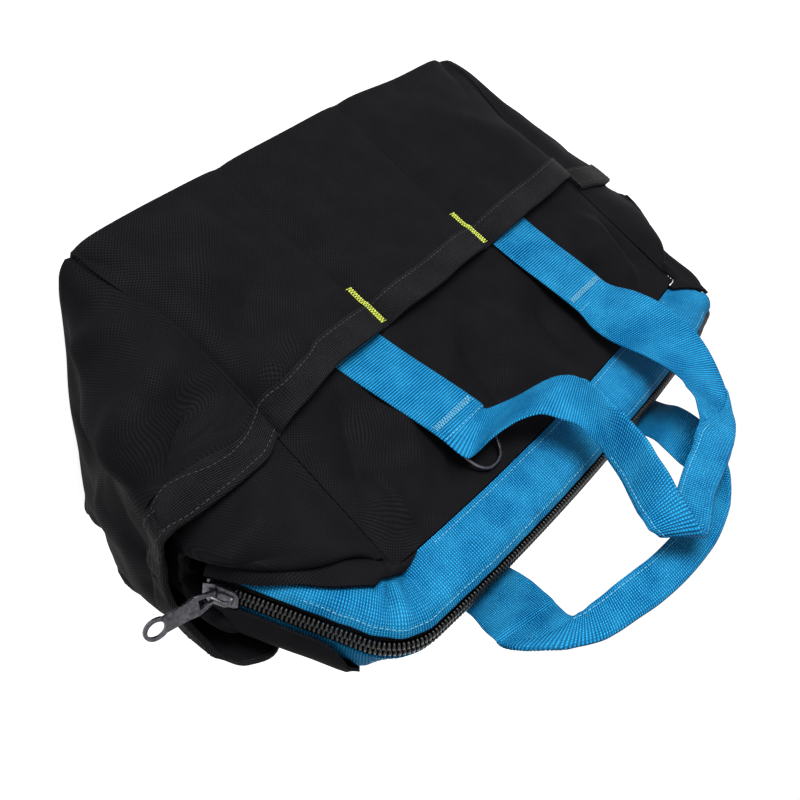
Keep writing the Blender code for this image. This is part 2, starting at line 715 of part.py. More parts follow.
def make_coils(nylon):
    """Both halves of the coil, each a row of turns along the tape's edge."""
    places, points, outward = dense_ridge()
    start = places[0] + STOP_LENGTH + CLOTH_GAP
    finish = places[-1] - SLIDER_LENGTH / 4
    turns = int((finish - start) / COIL_PITCH)
    wanted = np.linspace(start, finish, 2 * turns + 1)
    line = np.stack([np.interp(wanted, places, points[:, k]) for k in range(3)], axis=1)
    normal = unit(np.stack([np.interp(wanted, places, outward[:, k]) for k in range(3)], axis=1))
    half = (COIL_WIDTH - COIL_SPLIT) / 4
    thick = COIL_THICKNESS / 2
    for side, name in ((-1, "zipper_coil_front"), (+1, "zipper_coil_back")):
        centre = line + np.array((0.0, side * (COIL_SPLIT / 2 + half), 0.0))
        profiles = []
        for index in range(len(wanted)):
            swell = 1.0 if index % 2 else COIL_WAIST_SHARE
            shift = -side * half * (1 - swell)
            profiles.append([(thick * swell * a, half * swell * b + shift)
                             for a, b in ((-1, 0), (0, -1), (1, 0), (0, 1))])
        add_object(name, swept(centre, normal, np.array(profiles)), nylon, smooth=False)


def ridge_frame(distance, end):
    """Point and axes on a leg of the zipper line: up the leg, along Y, and outward."""
    foot, outward = ridge_half(end)[-1][:2]
    up = np.cross(outward, np.array((0.0, 1.0, 0.0))) * end
    return foot + up * distance, up, outward


def leg_matrix(distance, end):
    """Placement of a piece on the zipper's leg: its Z up the leg, its X outward."""
    point, up, outward = ridge_frame(distance, end)
    y_axis = np.cross(up, outward)
    rotation = Matrix((outward, y_axis, up)).transposed().to_4x4()
    return Matrix.Translation(Vector(point)) @ rotation


def make_stops(nylon):
    """Moulded stop that holds both coils together at the far end of the zipper."""
    width = COIL_WIDTH / 2
    thick = COIL_THICKNESS / 2 + CLOTH_GAP
    mesh = box_mesh((-thick, -width, 0.0), (thick, width, STOP_LENGTH))
    mesh.transform(leg_matrix(0.0, -1))
    add_object("zipper_end_stop", mesh, nylon, smooth=False)


def plate_outline(low_x, high_x):
    """A slider plate, wide at the open end below and narrow above."""
    half = SLIDER_LENGTH / 2
    wide = SLIDER_WIDTH / 2
    neck = SLIDER_NECK / 2
    nose = SLIDER_LENGTH / 8
    outline = [(-neck * 0.7, half), (neck * 0.7, half), (neck, half - nose), (wide, -half + 2 * nose),
               (wide * 0.75, -half), (-wide * 0.75, -half), (-wide, -half + 2 * nose), (-neck, half - nose)]
    points = [(low_x, y, z) for y, z in outline] + [(high_x, y, z) for y, z in outline]
    count = len(outline)
    faces = [tuple(range(count))[::-1], tuple(range(count, 2 * count))]
    for index in range(count):
        other = (index + 1) % count
        faces.append((index, other, other + count, index + count))
    return mesh_from(points, faces)


def slider_levels():
    """Distances of the slider's faces from the zipper line."""
    level = COIL_THICKNESS / 2 + SLIDER_CLEARANCE
    return level, -level


def make_slider(metal):
    """Slider body: two plates on a post, side flanges over the coil, and a bridge for the tab."""
    upper, lower = slider_levels()
    half = SLIDER_LENGTH / 2
    top = plate_outline(upper, upper + PLATE_THICKNESS)
    bottom = plate_outline(lower - PLATE_THICKNESS, lower)
    for vertex in bottom.vertices:
        vertex.co.y *= LOWER_PLATE_WIDTH / SLIDER_WIDTH
    sink = PLATE_THICKNESS / 2
    post_low = -half + PLATE_THICKNESS
    post = box_mesh((lower - sink, -POST_THICKNESS / 2, post_low),
                    (upper + sink, POST_THICKNESS / 2, post_low + POST_LENGTH))
    flanges = []
    for side in (-1, 1):
        inner = side * (COIL_WIDTH / 2 + SLIDER_CLEARANCE)
        outer = side * SLIDER_NECK / 2
        low = (0.0, min(inner, outer), -half + 2 * PLATE_THICKNESS)
        high = (upper + sink, max(inner, outer), half - 2 * PLATE_THICKNESS)
        flanges.append(box_mesh(low, high))
    base = upper + sink
    rise = upper + PLATE_THICKNESS + BRIDGE_HEIGHT - BRIDGE_THICKNESS / 2
    reach = BRIDGE_LENGTH / 2
    path = [(base, 0, -reach), (blend(base, rise, 0.7), 0, -reach), (rise, 0, -reach * 0.6),
            (rise, 0, reach * 0.6), (blend(base, rise, 0.7), 0, reach), (base, 0, reach)]
    across = [(0.0, 1.0, 0.0)] * len(path)
    w = BRIDGE_WIDTH / 2
    t = BRIDGE_THICKNESS / 2
    bridge = swept(path, across, [(-w, -t), (w, -t), (w, t), (-w, t)])
    mesh = fused("slider", [top, bottom, post, bridge] + flanges)
    placement = leg_matrix(half, +1)
    mesh.transform(placement)
    return add_object("zipper_slider", mesh, metal, smooth=False, origin=placement.translation)


def make_pull_tab(metal, slider):
    """Pull tab: a pin through the bridge, two arms, a flat stem and an oval ring."""
    upper = slider_levels()[0]
    pin_x = upper + PLATE_THICKNESS + (BRIDGE_HEIGHT - BRIDGE_THICKNESS) / 2
    pin_z = -BRIDGE_LENGTH * 0.22
    arm_inner = BRIDGE_WIDTH / 2 + CLOTH_GAP * 1.5
    arm_outer = TAB_WIDTH / 2
    thick = TAB_THICKNESS / 2
    pin = swept([(0, -arm_outer + TAB_PIN / 4, 0), (0, 0, 0), (0, arm_outer - TAB_PIN / 4, 0)],
                [(1.0, 0.0, 0.0)] * 3, round_profile(TAB_PIN / 2, 8))
    arms = [box_mesh((-TAB_PIN / 2, arm_inner * s if s > 0 else -arm_outer, -thick),
                     (TAB_SLOT + TAB_PIN, arm_outer if s > 0 else -arm_inner, thick)) for s in (-1, 1)]
    stem_end = TAB_LENGTH - TAB_RING_LENGTH
    outline = [(TAB_SLOT, TAB_WIDTH / 2), (blend(TAB_SLOT, stem_end, 0.5), TAB_WIDTH * 0.42),
               (stem_end + TAB_RING_WALL, TAB_WIDTH * 0.46)]
    outline = outline + [(x, -y) for x, y in outline[::-1]]
    stem = mesh_from([(x, y, z) for z in (-thick, thick) for x, y in outline],
                     [tuple(range(6)), tuple(range(11, 5, -1))]
                     + [(i, i + 6, (i + 1) % 6 + 6, (i + 1) % 6) for i in range(6)])
    ring_centre = TAB_LENGTH - TAB_RING_LENGTH / 2
    a = (TAB_RING_LENGTH - TAB_RING_WALL) / 2
    b = (TAB_RING_WIDTH - TAB_RING_WALL) / 2
    turns = [2 * math.pi * index / 20 for index in range(20)]
    loop = [(ring_centre + a * math.cos(turn), b * math.sin(turn), 0.0) for turn in turns]
    w = TAB_RING_WALL / 2
    section = [(-thick, -w), (thick, -w), (thick, w), (-thick, w)]
    ring = swept(loop, [(0.0, 0.0, 1.0)] * len(loop), section, closed=True)
    mesh = fused("tab", [stem, ring, pin] + arms)
    placement = leg_matrix(SLIDER_LENGTH / 2, +1) @ Matrix.Translation((pin_x, 0.0, pin_z))
    mesh.transform(placement @ Matrix.Rotation(TAB_DROOP, 4, "Y"))
    tab = add_object("pull_tab", mesh, metal, smooth=False, origin=placement.translation)
    tab.parent = slider
    tab.matrix_parent_inverse = Matrix.Translation(-slider.location)
    return tab


# Handles

def anchor_centre(shares, z):
    """X of a strap's middle at a height: it slants a little from the pocket to the tack line."""
    rise = (z - POCKET_HEIGHT) / (TACK_LINE_HEIGHT - POCKET_HEIGHT)
    return blend(shares[0], shares[1], rise) * STRAP_SPACING / 2


def strap_share(z):
    """How far up a strap a height lies, from the pocket (0) to the tack line (1)."""
    return ease((z - POCKET_HEIGHT) / (TACK_LINE_HEIGHT - POCKET_HEIGHT))


def anchor_offset(z):
    """Height of a strap's underside above the wall. Its upper end stands clear of the ring's tab."""
    return CLOTH + CLOTH_GAP + STRAP_RISE * strap_share(z)


def strap_point(side, x, z):
    """Wall point under a strap. The upper ends of both straps lie in one plane, for the handle."""
    low = wall_at(side, x, z)
    return (low[0], blend(low[1], wall_at(side, 0.0, z)[1], strap_share(z)), low[2])


def make_anchors(blue):
    """The sewn-down ends of the handle webbing, from inside the pockets up to the tack line."""
    heights = np.linspace(POCKET_HEIGHT - STRAP_TUCK, TACK_LINE_HEIGHT, 9)
    spread = np.linspace(-WEBBING_WIDTH / 2, WEBBING_WIDTH / 2, 4)
    for side, name, table in ((-1, "front", FRONT_ANCHOR_SHARES), (+1, "back", BACK_ANCHOR_SHARES)):
        for end, end_name in ((+1, "right"), (-1, "left")):
            grid = []
            for shift in spread:
                grid.append([strap_point(side, anchor_centre(table[end], z) + shift, z) for z in heights])
            low = np.array([[anchor_offset(z) for z in heights]] * len(spread))
            mesh = sheet(np.array(grid), low, low + WEBBING_THICKNESS, flip=-side)
            add_object(name + "_strap_" + end_name, mesh, blue)


def wall_frame(side):
    """Ways out of and up a long wall."""
    slope = math.atan2(HALF_DEPTH - STRIP_SPREAD, WALL_HEIGHT - FLOOR_TOP)
    out = np.array((0.0, side * math.cos(slope), math.sin(slope)))
    up = np.array((0.0, -side * math.sin(slope), math.cos(slope)))
    return out, up


def hinge_point(side):
    """Where a handle bends: on the outer face of its straps, just above their upper ends."""
    out, up = wall_frame(side)
    lift = anchor_offset(TACK_LINE_HEIGHT) + WEBBING_THICKNESS
    return np.array(wall_at(side, 0.0, TACK_LINE_HEIGHT)) + out * lift + up * CLOTH_GAP / 2


def handle_stations(side, table):
    """Stations of a handle: middle, way across, width and thickness."""
    hinge = hinge_point(side)
    rows = []
    for x_share, y_share, z_share, across, folded in table:
        x = x_share * STRAP_SPACING / 2
        y = hinge[1] + y_share * HANDLE_REACH
        z = hinge[2] + z_share * HANDLE_REACH
        rows.append((x, y, z) + across + (folded,))
    return rows


def make_handle(side, name, table, anchors, blue):
    """A handle: flat webbing at both roots, folded lengthwise and stitched along the grip."""
    hinge = hinge_point(side)
    out, up = wall_frame(side)
    stations = handle_stations(side, table)
    roots = []
    for end, way in ((+1, 1.0), (-1, math.copysign(1.0, table[-1][3][0]))):
        start = hinge - out * WEBBING_THICKNESS / 2 + up * CLOTH_GAP / 2
        start[0] = anchors[end][1] * STRAP_SPACING / 2
        roots.append([tuple(point) + (way, 0.0, 0.0, 0.0) for point in (start, start + up * HANDLE_ROOT_RUN)])
    path = along([roots[0][1]] + stations + [roots[1][1]], HANDLE_RINGS)
    path = np.concatenate([[roots[0][0]], path, [roots[1][0]]])
    profiles = []
    for row in path:
        folded = min(max(row[6], 0.0), 1.0)
        width = blend(WEBBING_WIDTH, GRIP_WIDTH, folded)
        thickness = blend(WEBBING_THICKNESS, GRIP_THICKNESS, folded)
        profiles.append(flat_profile(width, thickness))
    steps = np.arange(len(path))
    square = np.clip(np.minimum(steps, steps[::-1]) / ROOT_RINGS, 0.0, 1.0)
    mesh = swept(path[:, :3], path[:, 3:6], np.array(profiles), square=square)
    add_object(name, mesh, blue, origin=(0.0, hinge[1], hinge[2]))


# Ring

def ring_axis():
    """Middle of the ring's straight bar, with the wall's outward and upward directions."""
    out, up = wall_frame(-1)
    x = FRONT_ANCHOR_SHARES[+1][1] * STRAP_SPACING / 2
    wall = np.array(wall_at(-1, x, TACK_LINE_HEIGHT))
    outer = RING_WIRE / 2 + RING_CLEARANCE + RING_TAB_THICKNESS
    point = wall + out * (CLOTH + CLOTH_GAP + outer) + up * (outer + 2 * CLOTH_GAP)
    return point, out, up


def make_ring(metal, tape):
    """D-ring lying on the wall, and the tab of tape that holds its bar."""
    centre, out, up = ring_axis()
    across = np.array((1.0, 0.0, 0.0))
    half = RING_WIDTH / 2 - RING_WIRE / 2
    path = [centre - across * half * share for share in (-0.9, -0.3, 0.3, 0.9)]
    for index in range(15):
        turn = math.pi + math.pi * index / 14
        offset = across * half * math.cos(turn) - up * (RING_DROP - RING_WIRE) * math.sin(turn)
        lift = math.sin(math.pi * index / 14) * RING_WIRE * 0.2
        path.append(centre + offset + out * lift)
    path = np.array(path)
    normal = np.array([out] * len(path))
    ring = swept(path, normal, round_profile(RING_WIRE / 2, 8), closed=True)
    add_object("d_ring", ring, metal, origin=centre)
    inner = RING_WIRE / 2 + RING_CLEARANCE
    middle = inner + RING_TAB_THICKNESS / 2
    rows = []
    for shift in (-1.0, 0.0, 1.0):
        row = []
        for index in range(11):
            turn = math.radians(-90 + 300 * index / 10)
            row.append(centre + out * middle * math.sin(turn) + up * middle * math.cos(turn))
        tail = centre - out * middle
        row = [tail - up * (RING_TAB_TAIL * share) for share in (1.0, 0.5)] + row
        rows.append([point + across * shift * RING_TAB_WIDTH / 2 for point in row])
    grid = np.array(rows)
    mesh = sheet(grid, -RING_TAB_THICKNESS / 2, RING_TAB_THICKNESS / 2)
    add_object("d_ring_tab", mesh, tape)


def build():
    """Clear the scene and model the bag."""
    for item in list(bpy.data.objects):
        bpy.data.objects.remove(item)
    black = material("black_cloth", (0.012, 0.012, 0.013), 0.85)
    lining = material("grey_board", (0.06, 0.06, 0.065), 0.6)
    tape = material("black_tape", (0.016, 0.016, 0.017), 0.8)
    blue = material("blue_webbing", (0.012, 0.24, 0.62), 0.65)
    nylon = material("black_nylon", (0.010, 0.010, 0.011), 0.35)
    metal = material("black_metal", (0.03, 0.03, 0.032), 0.3, 0.9)
    thread = material("lime_thread", (0.55, 0.80, 0.06), 0.6)
    make_base(black, lining)
    make_walls(black)
    make_long_pockets(black, tape)
    make_end_pockets(black, tape)
    make_tacks(thread)
    make_strip(blue, tape)
    make_coils(nylon)
    make_stops(nylon)
    slider = make_slider(metal)
    make_pull_tab(metal, slider)
    make_anchors(blue)
    make_handle(-1, "front_handle", FRONT_HANDLE_SHARES, FRONT_ANCHOR_SHARES, blue)
    make_handle(+1, "back_handle", BACK_HANDLE_SHARES, BACK_ANCHOR_SHARES, blue)
    make_ring(metal, tape)


build()
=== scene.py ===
# %% [markdown]
# A soft tool bag in black cloth and blue webbing
# The bag lies in one frame with its solids: +Z runs from the base to the mouth, +X to the end where
# the zipper closes, and the front that the photograph shows looks along -Y. Each cell below makes one
# thing: a surface, a finish, or a piece that is laid over the solid that it stands for.

import math

import bmesh
import bpy
import numpy as np
from mathutils import Matrix, Vector


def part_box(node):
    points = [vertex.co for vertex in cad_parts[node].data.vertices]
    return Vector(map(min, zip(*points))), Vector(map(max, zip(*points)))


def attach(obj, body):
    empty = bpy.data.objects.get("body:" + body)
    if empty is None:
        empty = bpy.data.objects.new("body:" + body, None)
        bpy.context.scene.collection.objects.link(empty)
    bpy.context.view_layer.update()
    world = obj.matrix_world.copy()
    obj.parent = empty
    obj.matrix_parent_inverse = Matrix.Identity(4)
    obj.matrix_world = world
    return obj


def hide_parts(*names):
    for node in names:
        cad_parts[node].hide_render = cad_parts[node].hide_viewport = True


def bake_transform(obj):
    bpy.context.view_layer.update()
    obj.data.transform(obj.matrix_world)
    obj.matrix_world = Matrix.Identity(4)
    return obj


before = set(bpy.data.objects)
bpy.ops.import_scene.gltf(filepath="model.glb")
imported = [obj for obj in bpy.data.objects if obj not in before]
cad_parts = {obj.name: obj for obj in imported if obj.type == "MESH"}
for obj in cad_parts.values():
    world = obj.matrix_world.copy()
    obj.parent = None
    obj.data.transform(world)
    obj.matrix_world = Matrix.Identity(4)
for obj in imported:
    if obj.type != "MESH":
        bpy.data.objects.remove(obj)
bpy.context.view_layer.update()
print("solids in the frame:", len(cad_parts))

# %% [markdown]
# Sizes
# These are the part's own sizes, in metres. A scene that repeats them can lay its pieces exactly on
# the solids. Lengths that only the looks need, such as a thread's pitch, come further down.

# %% Sizes of the bag
BASE_LENGTH, BASE_DEPTH = 0.320, 0.200
MOUTH_HEIGHT, STRIP_DROP, MOUTH_SAG, STRIP_SPREAD = 0.249, 0.032, 0.0066, 0.0175
END_REACH, SEAM_LEAN = 0.062, 0.010
CLOTH, CLOTH_GAP = 0.0016, 0.0003
POCKET_SLACK, POCKET_TURN_UP, END_POCKET_SLACK = 0.0080, 0.011, 0.0130
DIVIDER_SPACING, DIVIDER_FLAT = 0.106, 0.0021
BINDING_WIDTH, BINDING_THICKNESS = 0.015, 0.0008
TACK_LENGTH, TACK_WIDTH = 0.028, 0.0028
COIL_WIDTH, COIL_SPLIT = 0.0096, 0.0014
TAPE_THICKNESS, TAPE_SHOW, TAPE_DROP, TAPE_UNDERLAP = 0.0010, 0.0040, 0.0016, 0.0110
BAND_THICKNESS, CORNER_RADIUS, LEG_LEAN = 0.0014, 0.0335, math.radians(16.8)
SLIDER_LENGTH, STOP_LENGTH = 0.019, 0.003
WEBBING_WIDTH, WEBBING_THICKNESS = 0.038, 0.0016
STRAP_SPACING, STRAP_TUCK, STRAP_RISE = 0.152, 0.009, 0.0042
RING_WIRE, RING_WIDTH, RING_DROP = 0.0021, 0.030, 0.023
RING_TAB_WIDTH, RING_TAB_THICKNESS, RING_TAB_TAIL, RING_CLEARANCE = 0.024, 0.0006, 0.012, 0.0003
HALF_LENGTH, HALF_DEPTH = BASE_LENGTH / 2, BASE_DEPTH / 2
FLOOR_TOP = CLOTH + CLOTH_GAP
WALL_HEIGHT = MOUTH_HEIGHT - STRIP_DROP
POCKET_HEIGHT = WALL_HEIGHT * 0.5576
TACK_LINE_HEIGHT = WALL_HEIGHT * 0.8571
LEG_LENGTH = WALL_HEIGHT * 0.3825
MM = 0.001

# %% [markdown]
# Smooth curves through a few rows of numbers
# A bag has no straight line in it. `smooth_table` reads a smooth curve through a table, which is all
# that the walls, the bulging ends and the handles need.

# %% Smooth curves
def blend(low, high, share):
    """Value part of the way from low to high."""
    return low + (high - low) * share


def ease(share):
    """Smooth rise from 0 to 1, for numbers and arrays."""
    share = np.clip(share, 0.0, 1.0)
    return share * share * (3 - 2 * share)


def smooth_table(places, values, wanted):
    """Values read at the wanted places from a smooth curve through a table of rows."""
    places, values = np.asarray(places, float), np.asarray(values, float)
    slopes = np.gradient(values, places, axis=0)
    wanted = np.clip(np.asarray(wanted, float), places[0], places[-1])
    left = np.clip(np.searchsorted(places, wanted, side="right") - 1, 0, len(places) - 2)
    width = places[left + 1] - places[left]
    shape = wanted.shape + (1,) * (values.ndim - 1)
    s, w = ((wanted - places[left]) / width).reshape(shape), width.reshape(shape)
    start = (2 * s ** 3 - 3 * s ** 2 + 1) * values[left] + (s ** 3 - 2 * s ** 2 + s) * w * slopes[left]
    end = (-2 * s ** 3 + 3 * s ** 2) * values[left + 1] + (s ** 3 - s ** 2) * w * slopes[left + 1]
    return start + end


def unit(vectors):
    """Vectors brought to length one."""
    return vectors / np.linalg.norm(vectors, axis=-1, keepdims=True)


def lengths_along(points):
    """Distance run at each point of a line."""
    steps = np.linalg.norm(np.diff(points, axis=0), axis=1)
    return np.concatenate([[0.0], np.cumsum(steps)])


def along(points, count):
    """A smooth curve through rows of numbers, read at evenly spaced places along its length."""
    points = np.asarray(points, float)
    places = lengths_along(points[:, :3])
    return smooth_table(places, points, np.linspace(0.0, places[-1], count))


print("halfway along an eased rise:", float(ease(0.5)))

# %% [markdown]
# The bag's surfaces
# The long wall leans inward from the base to the mouth, the end panel bulges out and folds in beside
# the zipper, and a narrow strip falls away from the zipper on both sides. Every cloth layer is laid
# at its own height above one of these.

# %% Long wall
SEAM_HEIGHT_SHARES = (0.0, 0.28, 0.55, 0.78, 1.0)
SEAM_REACH_SHARES = (1.0, 0.955, 0.965, 0.975, 0.985)


def seam_x(end, rise):
    """X of a side seam at a share of the wall's height."""
    reach = smooth_table(SEAM_HEIGHT_SHARES, SEAM_REACH_SHARES, rise)
    lean = SEAM_LEAN * ease(np.asarray(rise) / SEAM_HEIGHT_SHARES[2])
    return end * HALF_LENGTH * reach - lean * (1.0 if end < 0 else 0.35)


def wall_point(side, across, rise):
    """Point on the long wall: across runs from -1 at the left seam to +1 at the right."""
    across, rise = np.broadcast_arrays(np.asarray(across, float), np.asarray(rise, float))
    x = blend(seam_x(-1, rise), seam_x(+1, rise), (across + 1) / 2)
    y = side * blend(HALF_DEPTH, STRIP_SPREAD, rise)
    top = WALL_HEIGHT - MOUTH_SAG * across ** 2
    return np.stack([x, y, blend(FLOOR_TOP, top, rise)], axis=-1)


def wall_place(x, z):
    """Across and rise on the long wall at a given x and height."""
    x, z = np.broadcast_arrays(np.asarray(x, float), np.asarray(z, float))
    rise = (z - FLOOR_TOP) / (WALL_HEIGHT - FLOOR_TOP)
    left, right = seam_x(-1, rise), seam_x(+1, rise)
    across = 2 * (x - left) / (right - left) - 1
    top = WALL_HEIGHT - MOUTH_SAG * across ** 2
    return across, (z - FLOOR_TOP) / (top - FLOOR_TOP)


def wall_frame(side):
    """Ways out of and up a long wall."""
    slope = math.atan2(HALF_DEPTH - STRIP_SPREAD, WALL_HEIGHT - FLOOR_TOP)
    out = np.array((0.0, side * math.cos(slope), math.sin(slope)))
    up = np.array((0.0, -side * math.sin(slope), math.cos(slope)))
    return out, up


print("wall leans", round(math.degrees(math.atan2(HALF_DEPTH - STRIP_SPREAD, WALL_HEIGHT)), 1), "degrees")

# %% End panel
END_PLACE_SHARES = (0.0, 0.30, 0.62, 0.85)
END_ROW_SHARES = (0.0, 0.28, 0.60, 0.78, 0.89, 1.0)
END_FULLNESS_SHARES = {+1: 1.0, -1: 0.7}
END_NET_SHARES = (
    ((0.04, 0.00, 0.000), (0.04, 0.32, 0.000), (0.04, 0.66, 0.000), (0.02, 0.87, 0.000)),
    ((0.49, 0.00, 0.255), (0.51, 0.30, 0.255), (0.47, 0.60, 0.262), (0.16, 0.72, 0.268)),
    ((0.78, 0.00, 0.530), (0.81, 0.12, 0.535), (0.79, 0.25, 0.565), (0.36, 0.40, 0.590)),
    ((0.85, 0.00, 0.555), (0.86, 0.15, 0.572), (0.78, 0.27, 0.690), (0.30, 0.345, 0.735)),
    ((0.85, 0.00, 0.562), (0.76, 0.205, 0.580), (0.53, 0.225, 0.780), (0.16, 0.290, 0.865)),
    ((0.82, 0.00, 0.566), (0.44, 0.215, 0.575), (0.19, 0.225, 0.765), (0.03, 0.226, 0.895)),
)


def end_grid(end, places, row_places):
    """Points of an end panel: places run from -1 at the front seam to +1 at the back, rows upward."""
    rows = []
    for row_share, row in zip(END_ROW_SHARES, END_NET_SHARES):
        lean = SEAM_LEAN * ease(row_share / SEAM_HEIGHT_SHARES[2]) * (1.0 if end < 0 else 0.0)
        half = [(end * (HALF_LENGTH + reach * END_REACH) - lean, depth * HALF_DEPTH,
                 FLOOR_TOP + rise * WALL_HEIGHT) for reach, depth, rise in row]
        back = [np.array(point) for point in half] + [wall_point(+1, end, row_share)]
        rows.append([point * np.array((1, -1, 1)) for point in back[:0:-1]] + back)
    half = END_PLACE_SHARES + (1.0,)
    columns = [-share for share in half[:0:-1]] + list(half)
    read = smooth_table(END_ROW_SHARES, np.array(rows), row_places)
    return smooth_table(columns, np.swapaxes(read, 0, 1), places)


print("end panel reaches x =", round(float(end_grid(+1, [0.0], [0.6])[0, 0, 0]), 4))

# %% Line of the zipper and the strip beside it
RIDGE_STEP, CORNER_STEP = 0.0045, 0.0030


def ridge_half(end):
    """Half of the zipper's line, from mid-length down to its foot."""
    edge_x = abs(float(seam_x(end, 1.0))) + CORNER_RADIUS * math.sin(LEG_LEAN) * 0.7
    count = int(round(edge_x / RIDGE_STEP))
    stations = []
    for index in range(count + 1):
        x = edge_x * index / count
        angle = math.atan(-2 * MOUTH_SAG * x / edge_x ** 2)
        stations.append(((x, MOUTH_HEIGHT - MOUTH_SAG * (x / edge_x) ** 2), angle, x / edge_x, 0.0))
    (x, z), angle = stations[-1][:2]
    turn = (LEG_LEAN - math.pi / 2) - angle
    centre = (x - CORNER_RADIUS * math.sin(-angle), z - CORNER_RADIUS * math.cos(angle))
    corner_count = int(round(CORNER_RADIUS * abs(turn) / CORNER_STEP))
    for index in range(1, corner_count + 1):
        heading = angle + turn * index / corner_count
        x, z = centre[0] - CORNER_RADIUS * math.sin(heading), centre[1] + CORNER_RADIUS * math.cos(heading)
        stations.append(((x, z), heading, 1.0, index / corner_count))
    leg_count = int(round(LEG_LENGTH / RIDGE_STEP))
    heading = LEG_LEAN - math.pi / 2
    for index in range(1, leg_count + 1):
        distance = LEG_LENGTH * index / leg_count
        point = (x + distance * math.cos(heading), z + distance * math.sin(heading))
        stations.append((point, heading, 1.0, 1.0 + index / leg_count))
    rows = []
    for (x, z), heading, top_share, end_share in stations:
        outward = np.array((-math.sin(heading) * end, 0.0, math.cos(heading)))
        rows.append((end, np.array((end * x, 0.0, z)), outward, top_share, end_share))
    return rows


RIDGE_HALVES = {end: ridge_half(end) for end in (-1, +1)}
RIDGE = RIDGE_HALVES[-1][:0:-1] + RIDGE_HALVES[+1]


def strip_edge(side, end, top_share, end_share):
    """Outer edge of the mouth strip, level with the top of the wall or of the end panel."""
    if end_share == 0.0:
        return wall_point(side, end * top_share, 1.0)
    corner = wall_point(side, end, 1.0)
    foot_row = RIDGE_HALVES[end][-1]
    foot = foot_row[1] - foot_row[2] * STRIP_DROP + np.array((0.0, side * STRIP_SPREAD, 0.0))
    corner_run = 0.12
    share = corner_run * end_share if end_share < 1.0 else blend(corner_run, 1.0, end_share - 1.0)
    return corner + (foot - corner) * share


# Shares of the strip's width: the coil's edge, the shoulder, the bend, the middle and the outer edge.
STRIP_PLACES = (0.0, 0.14, 0.28, 0.62, 1.0)
# How far the back half spreads and rises behind the slider, and how far the far corner sinks in.
SPREAD_REACH, SPREAD_LIFT = 0.0085, 0.0075
FAR_SETTLE = np.array((0.0130, 0.0, -0.0062))


def far_settle(end, top_share, end_share):
    """How far the far top corner of the mouth sinks in."""
    if end > 0:
        return np.zeros(3)
    depth = 0.40 + 0.60 * ease(end_share * 1.8)
    return FAR_SETTLE * float(depth * ease((top_share - 0.8) * 5) * ease((1.9 - end_share) * 1.4))


def strip_grid(side, width_places, puff=1.0):
    """Points of the mouth strip: along the zipper, and from the coil's edge (0) to the strip's (1).

    Behind the slider the back half lies spread out, level with the coil."""
    coil_edge = COIL_WIDTH / 2 + 2 * CLOTH_GAP
    y_axis = np.array((0.0, side, 0.0))
    rows = []
    for end, point, outward, top_share, end_share in RIDGE:
        start = point + y_axis * coil_edge - outward * TAPE_THICKNESS
        shoulder = start + y_axis * TAPE_SHOW - outward * TAPE_DROP
        bend = shoulder + y_axis * TAPE_SHOW - outward * TAPE_DROP * 2
        outer = strip_edge(side, end, top_share, end_share)
        open_share = float(ease((end_share - 0.60) * 2.4) + ease((end_share - 1.75) * 5) * -0.8)
        open_share *= puff if side > 0 and end > 0 else 0.0
        shoulder = shoulder + outward * TAPE_DROP * 0.8 * open_share
        bend = bend + (y_axis * SPREAD_REACH * 0.5 + outward * SPREAD_LIFT * 0.5) * open_share
        middle = blend(bend, outer, 0.5) + (y_axis * SPREAD_REACH + outward * SPREAD_LIFT) * open_share
        settle = far_settle(end, top_share, end_share)
        curve = [start + settle, shoulder + settle, bend + settle * 0.9, middle + settle * 0.5, outer]
        rows.append(smooth_table(STRIP_PLACES, curve, width_places))
    return np.array(rows)


print("stations along the zipper:", len(RIDGE))

# %% [markdown]
# Folds and softness
# Real cloth shows three things that a net of straight lines lacks: broad soft folds, small puckers
# near the stitching, and rounded corners where it turns over the base. They could be carved by hand
# or simulated. Here each fold is one row of a table, so that it lands where the photograph has it,
# and a smooth lattice of random heights adds the small unevenness between them.

# %% Relief helpers
LATTICE, FOLD_BLUNTNESS = 97, 0.35


def lattice_noise(u, v, cell, seed):
    """Smooth random heights of about -1 to 1, with bumps about one cell apart."""
    table = np.random.default_rng(seed).uniform(-1.0, 1.0, (LATTICE, LATTICE))
    gu, gv = np.asarray(u) / cell + 31.7, np.asarray(v) / cell + 23.3
    iu, iv = np.floor(gu).astype(int), np.floor(gv).astype(int)
    fu, fv = ease(gu - iu), ease(gv - iv)
    corner = [[table[(iu + a) % LATTICE, (iv + b) % LATTICE] for b in (0, 1)] for a in (0, 1)]
    return blend(blend(corner[0][0], corner[1][0], fu), blend(corner[0][1], corner[1][1], fu), fv)


def unevenness(u, v, seed, sizes):
    """Random heights at several sizes: each row is how far apart the bumps are and how high."""
    return sum(lattice_noise(u, v, cell, seed + step) * height for step, (cell, height) in enumerate(sizes))


def fold_relief(u, v, folds):
    """Heights of straight folds: each row has its two ends, width and height, all in metres."""
    total = np.zeros(np.broadcast(u, v).shape)
    for u0, v0, u1, v1, width, height in folds:
        du, dv = u1 - u0, v1 - v0
        run = math.hypot(du, dv)
        share = ((u - u0) * du + (v - v0) * dv) / run ** 2
        off = ((u - u0) * dv - (v - v0) * du) / run
        tent = np.exp(FOLD_BLUNTNESS - np.sqrt((off / width) ** 2 + FOLD_BLUNTNESS ** 2))
        total = total + height * ease(share * 3) * ease((1 - share) * 3) * tent
    return total


print("lattice height at the middle:", round(float(lattice_noise(0.0, 0.0, 0.030, 11)), 3))

# %% Rounded base
EDGE_ROUND, CORNER_FADE = 0.006, 0.060
BASE_CORNER_POWER = {+1: 26.0, -1: 16.0}
